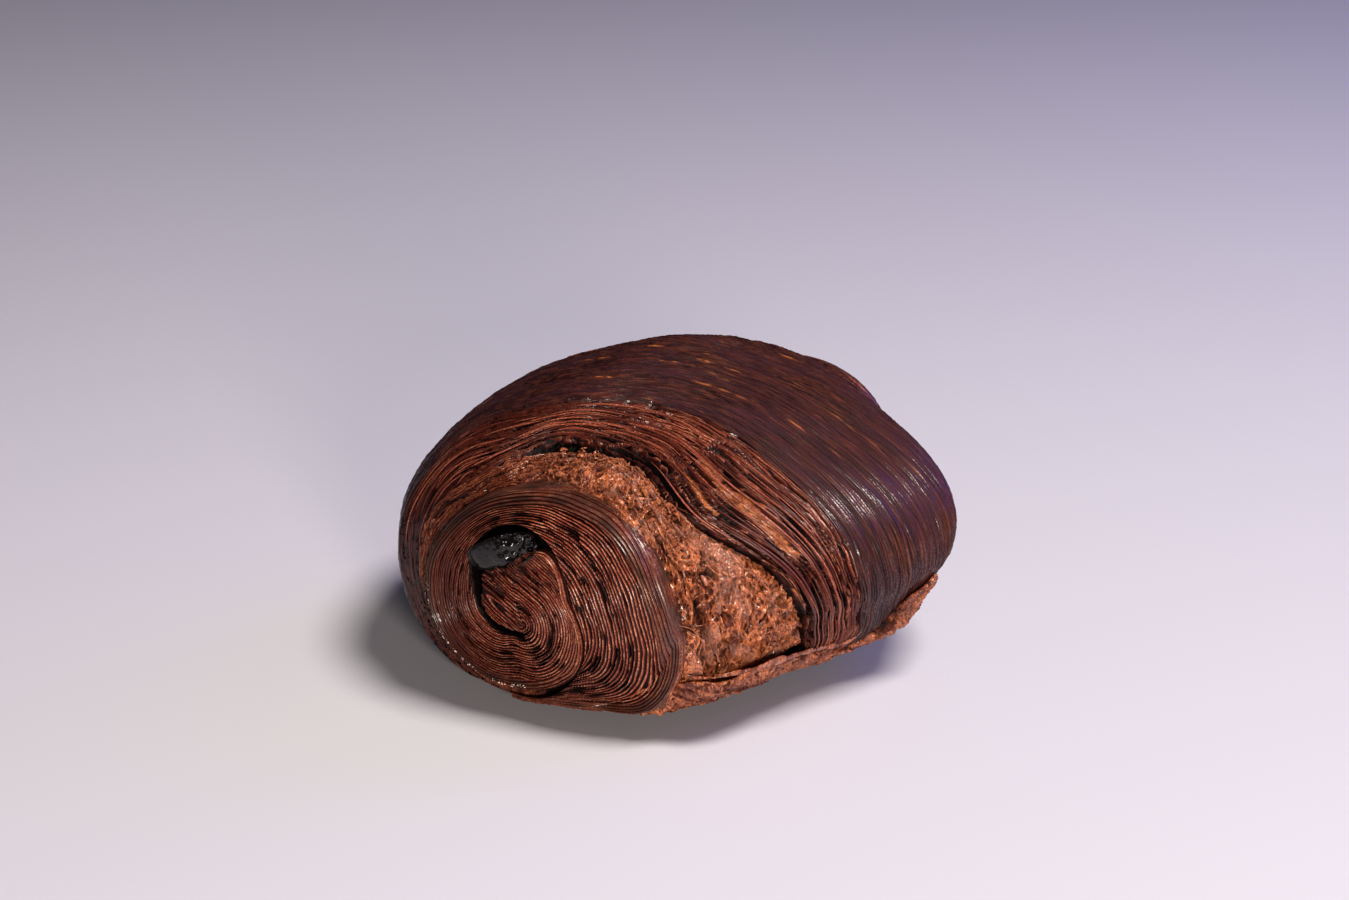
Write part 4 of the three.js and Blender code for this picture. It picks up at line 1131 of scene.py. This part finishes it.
def batonSkin(u, v, which):
    c, s = np.cos(2 * math.pi * u), np.sin(2 * math.pi * u)
    cap = baton["capShare"]
    t = np.interp(v, [0, cap, 1 - cap, 1], [0, 0, 1, 1])
    fromEdge = np.minimum(v, 1 - v) / cap
    onCap = fromEdge < 1
    spread = np.clip(np.sin(np.clip(fromEdge, 0, 1) * math.pi / 2) ** baton["capPower"], 0, 1)
    pull = baton["edgePull"] * (1 - np.sqrt(np.clip(1 - spread ** baton["edgePower"], 0, 1)))
    across, up = (baton[size] / 2 * baton["fuller"] for size in ("width", "thickness"))
    power = np.where(c < 0, *baton["cornerPowers"])
    radius = (np.abs(c / across) ** power + np.abs(s / up) ** power) ** (-1 / power)
    x, z = radius * spread * c, radius * spread * s
    start, finish = batonPlace(nearEnd), batonPlace(farEnd)
    tilt = math.radians(baton["tilt"])
    tilted = [x * math.cos(tilt) - z * math.sin(tilt), 0 * x, x * math.sin(tilt) + z * math.cos(tilt)]
    points = start + (finish - start) * t[:, None] + np.stack(tilted, -1)
    side = np.where(v < 0.5, -1, 1)
    points[:, 1] -= side * pull * onCap
    melted = smoothStep(*baton["meltGrows"], x) * (v < cap * baton["meltCaps"])
    points[:, 1] += baton["melt"] * melted * onCap
    blob = baton["blob"] * noise(*(points / baton["blobPitch"]).T, 71)
    bubbles = baton["bubble"] * noise(*(points / baton["bubblePitch"]).T, 72)
    push = blob + bubbles * (baton["bubbleAll"] + baton["bubbleMelted"] * melted)
    points[:, 0] += push * baton["pushAside"] * c
    points[:, 2] += push * baton["pushAside"] * s
    points[:, 1] += side * push * onCap * baton["pushOut"]
    edge = x + baton["bloomWander"] * blob / baton["blob"]
    bloom = (1 - smoothStep(*baton["bloomFades"], edge)) * (v < cap * baton["bloomCaps"])
    bloom = bloom + baton["farBloom"] * (v > 1 - cap * baton["bloomCaps"])
    return points, {"bloom": np.clip(bloom, 0, 1)}


piece = gridPiece("chocolate", baton["columns"], baton["rows"], batonSkin)
finishPiece(piece, chocolateMaterial, "chocolate_baton")


# Beads of syrup, boiled out on the roll's lower rim

beads = {
    "count": 170, "sides": 10, "steps": 7, "radius": (0.07, 0.24), "seed": 8,
    "fewLarge": 3, "sunk": 0.3,
    # angle from, angle to, share of the beads, and how far in from the edge they sit, in mm
    "runs": [(188, 240, 0.8, (-0.6, 0.9)), (246, 275, 0.2, (-0.4, 0.6))],
}


def beadsOnRim():
    rng = np.random.default_rng(beads["seed"])
    count, (small, large) = beads["count"], beads["radius"]
    radius = small + (large - small) * rng.random(count) ** beads["fewLarge"]
    starts, stops, shares, insets = (np.array(column) for column in zip(*beads["runs"]))
    run = rng.choice(len(shares), count, p=shares)
    angle = rng.uniform(starts[run], stops[run])
    inset = insets[run, 0] + (insets[run, 1] - insets[run, 0]) * rng.random(count)
    corner = ribbon["corner"]
    back = softRamp(-inset, corner) - 0.5 * corner
    edge = along(ribbon["outer"], angle) - np.maximum(softRamp(inset, corner), 0)
    centres = facePoint(nearEnd, edge, angle, back - beads["sunk"] * radius)

    def place(u, v, which):
        turn, tip = 2 * math.pi * u, math.pi * v
        ball = np.stack([np.sin(tip) * np.cos(turn), np.sin(tip) * np.sin(turn), np.cos(tip)], -1)
        return centres[which] + radius[which, None] * ball, {}
    return place


piece = gridPiece("syrup_beads", beads["sides"], beads["steps"], beadsOnRim(), beads["count"])
finishPiece(piece, syrupMaterial, "pastry")


# Camera, lights and floor

view = {
    "azimuth": 35, "elevation": 17, "distance": 510.5, "aim": (0, 0, 27), "lens": 85, "sensor": 36,
    "shift": (0.0174, 0.0088), "clip": (0.01, 20),
}


def lookFrom(azimuth, elevation, distance, aim):
    a, e = math.radians(azimuth), math.radians(elevation)
    back = Vector((math.sin(a) * math.cos(e), -math.cos(a) * math.cos(e), math.sin(e)))
    turn = back.to_track_quat("Z", "Y").to_matrix().to_4x4()
    return Matrix.Translation(aim + back * distance) @ turn


def addCamera():
    data = bpy.data.cameras.new("camera")
    data.lens, data.sensor_width = view["lens"], view["sensor"]
    data.shift_x, data.shift_y = view["shift"]
    data.clip_start, data.clip_end = view["clip"]
    camera = bpy.data.objects.new("camera", data)
    bpy.context.scene.collection.objects.link(camera)
    aim = Vector(view["aim"]) * mm + Vector(offset) * mm
    camera.matrix_world = lookFrom(view["azimuth"], view["elevation"], view["distance"] * mm, aim)
    bpy.context.scene.camera = camera


lights = {
    # azimuth, elevation, distance in m, size in m, watts, colour
    "key": (86, 63, 0.9, 0.34, 10.4, "#fff4ea"),
    "front": (46, 10, 1.0, 0.2, 10, "#fff0e2"),
    "violet": (150, 26, 1.0, 0.8, 4.6, "#665adc"),
}
studio = {"aim": (0, 0, 0.02), "colour": "#cfcce6", "strength": 0.06}
floorLook = {"colour": "#cacbd4", "roughness": 0.6, "halfWidth": 4}


def addLights():
    for name, (azimuth, elevation, distance, size, power, colour) in lights.items():
        data = bpy.data.lights.new(name, "AREA")
        data.shape, data.size, data.energy = "DISK", size, power
        data.color = linear(colour)[:3]
        light = bpy.data.objects.new(name, data)
        bpy.context.scene.collection.objects.link(light)
        light.matrix_world = lookFrom(azimuth, elevation, distance, Vector(studio["aim"]))
    world = bpy.data.worlds.new("studio")
    world.use_nodes = True
    background = world.node_tree.nodes["Background"]
    background.inputs["Color"].default_value = linear(studio["colour"])
    background.inputs["Strength"].default_value = studio["strength"]
    bpy.context.scene.world = world


def addFloor():
    shape = bmesh.new()
    bmesh.ops.create_grid(shape, x_segments=1, y_segments=1, size=floorLook["halfWidth"])
    mesh = bpy.data.meshes.new("floor")
    shape.to_mesh(mesh)
    shape.free()
    floor = bpy.data.objects.new("floor", mesh)
    colour, rough = linear(floorLook["colour"]), floorLook["roughness"]
    mesh.materials.append(newMaterial("paleFloor", Base_Color=colour, Roughness=rough)[0])
    bpy.context.scene.collection.objects.link(floor)


addCamera()
addLights()
addFloor()
bpy.context.scene.view_settings.view_transform = "Standard"
print("camera, lights and floor made")
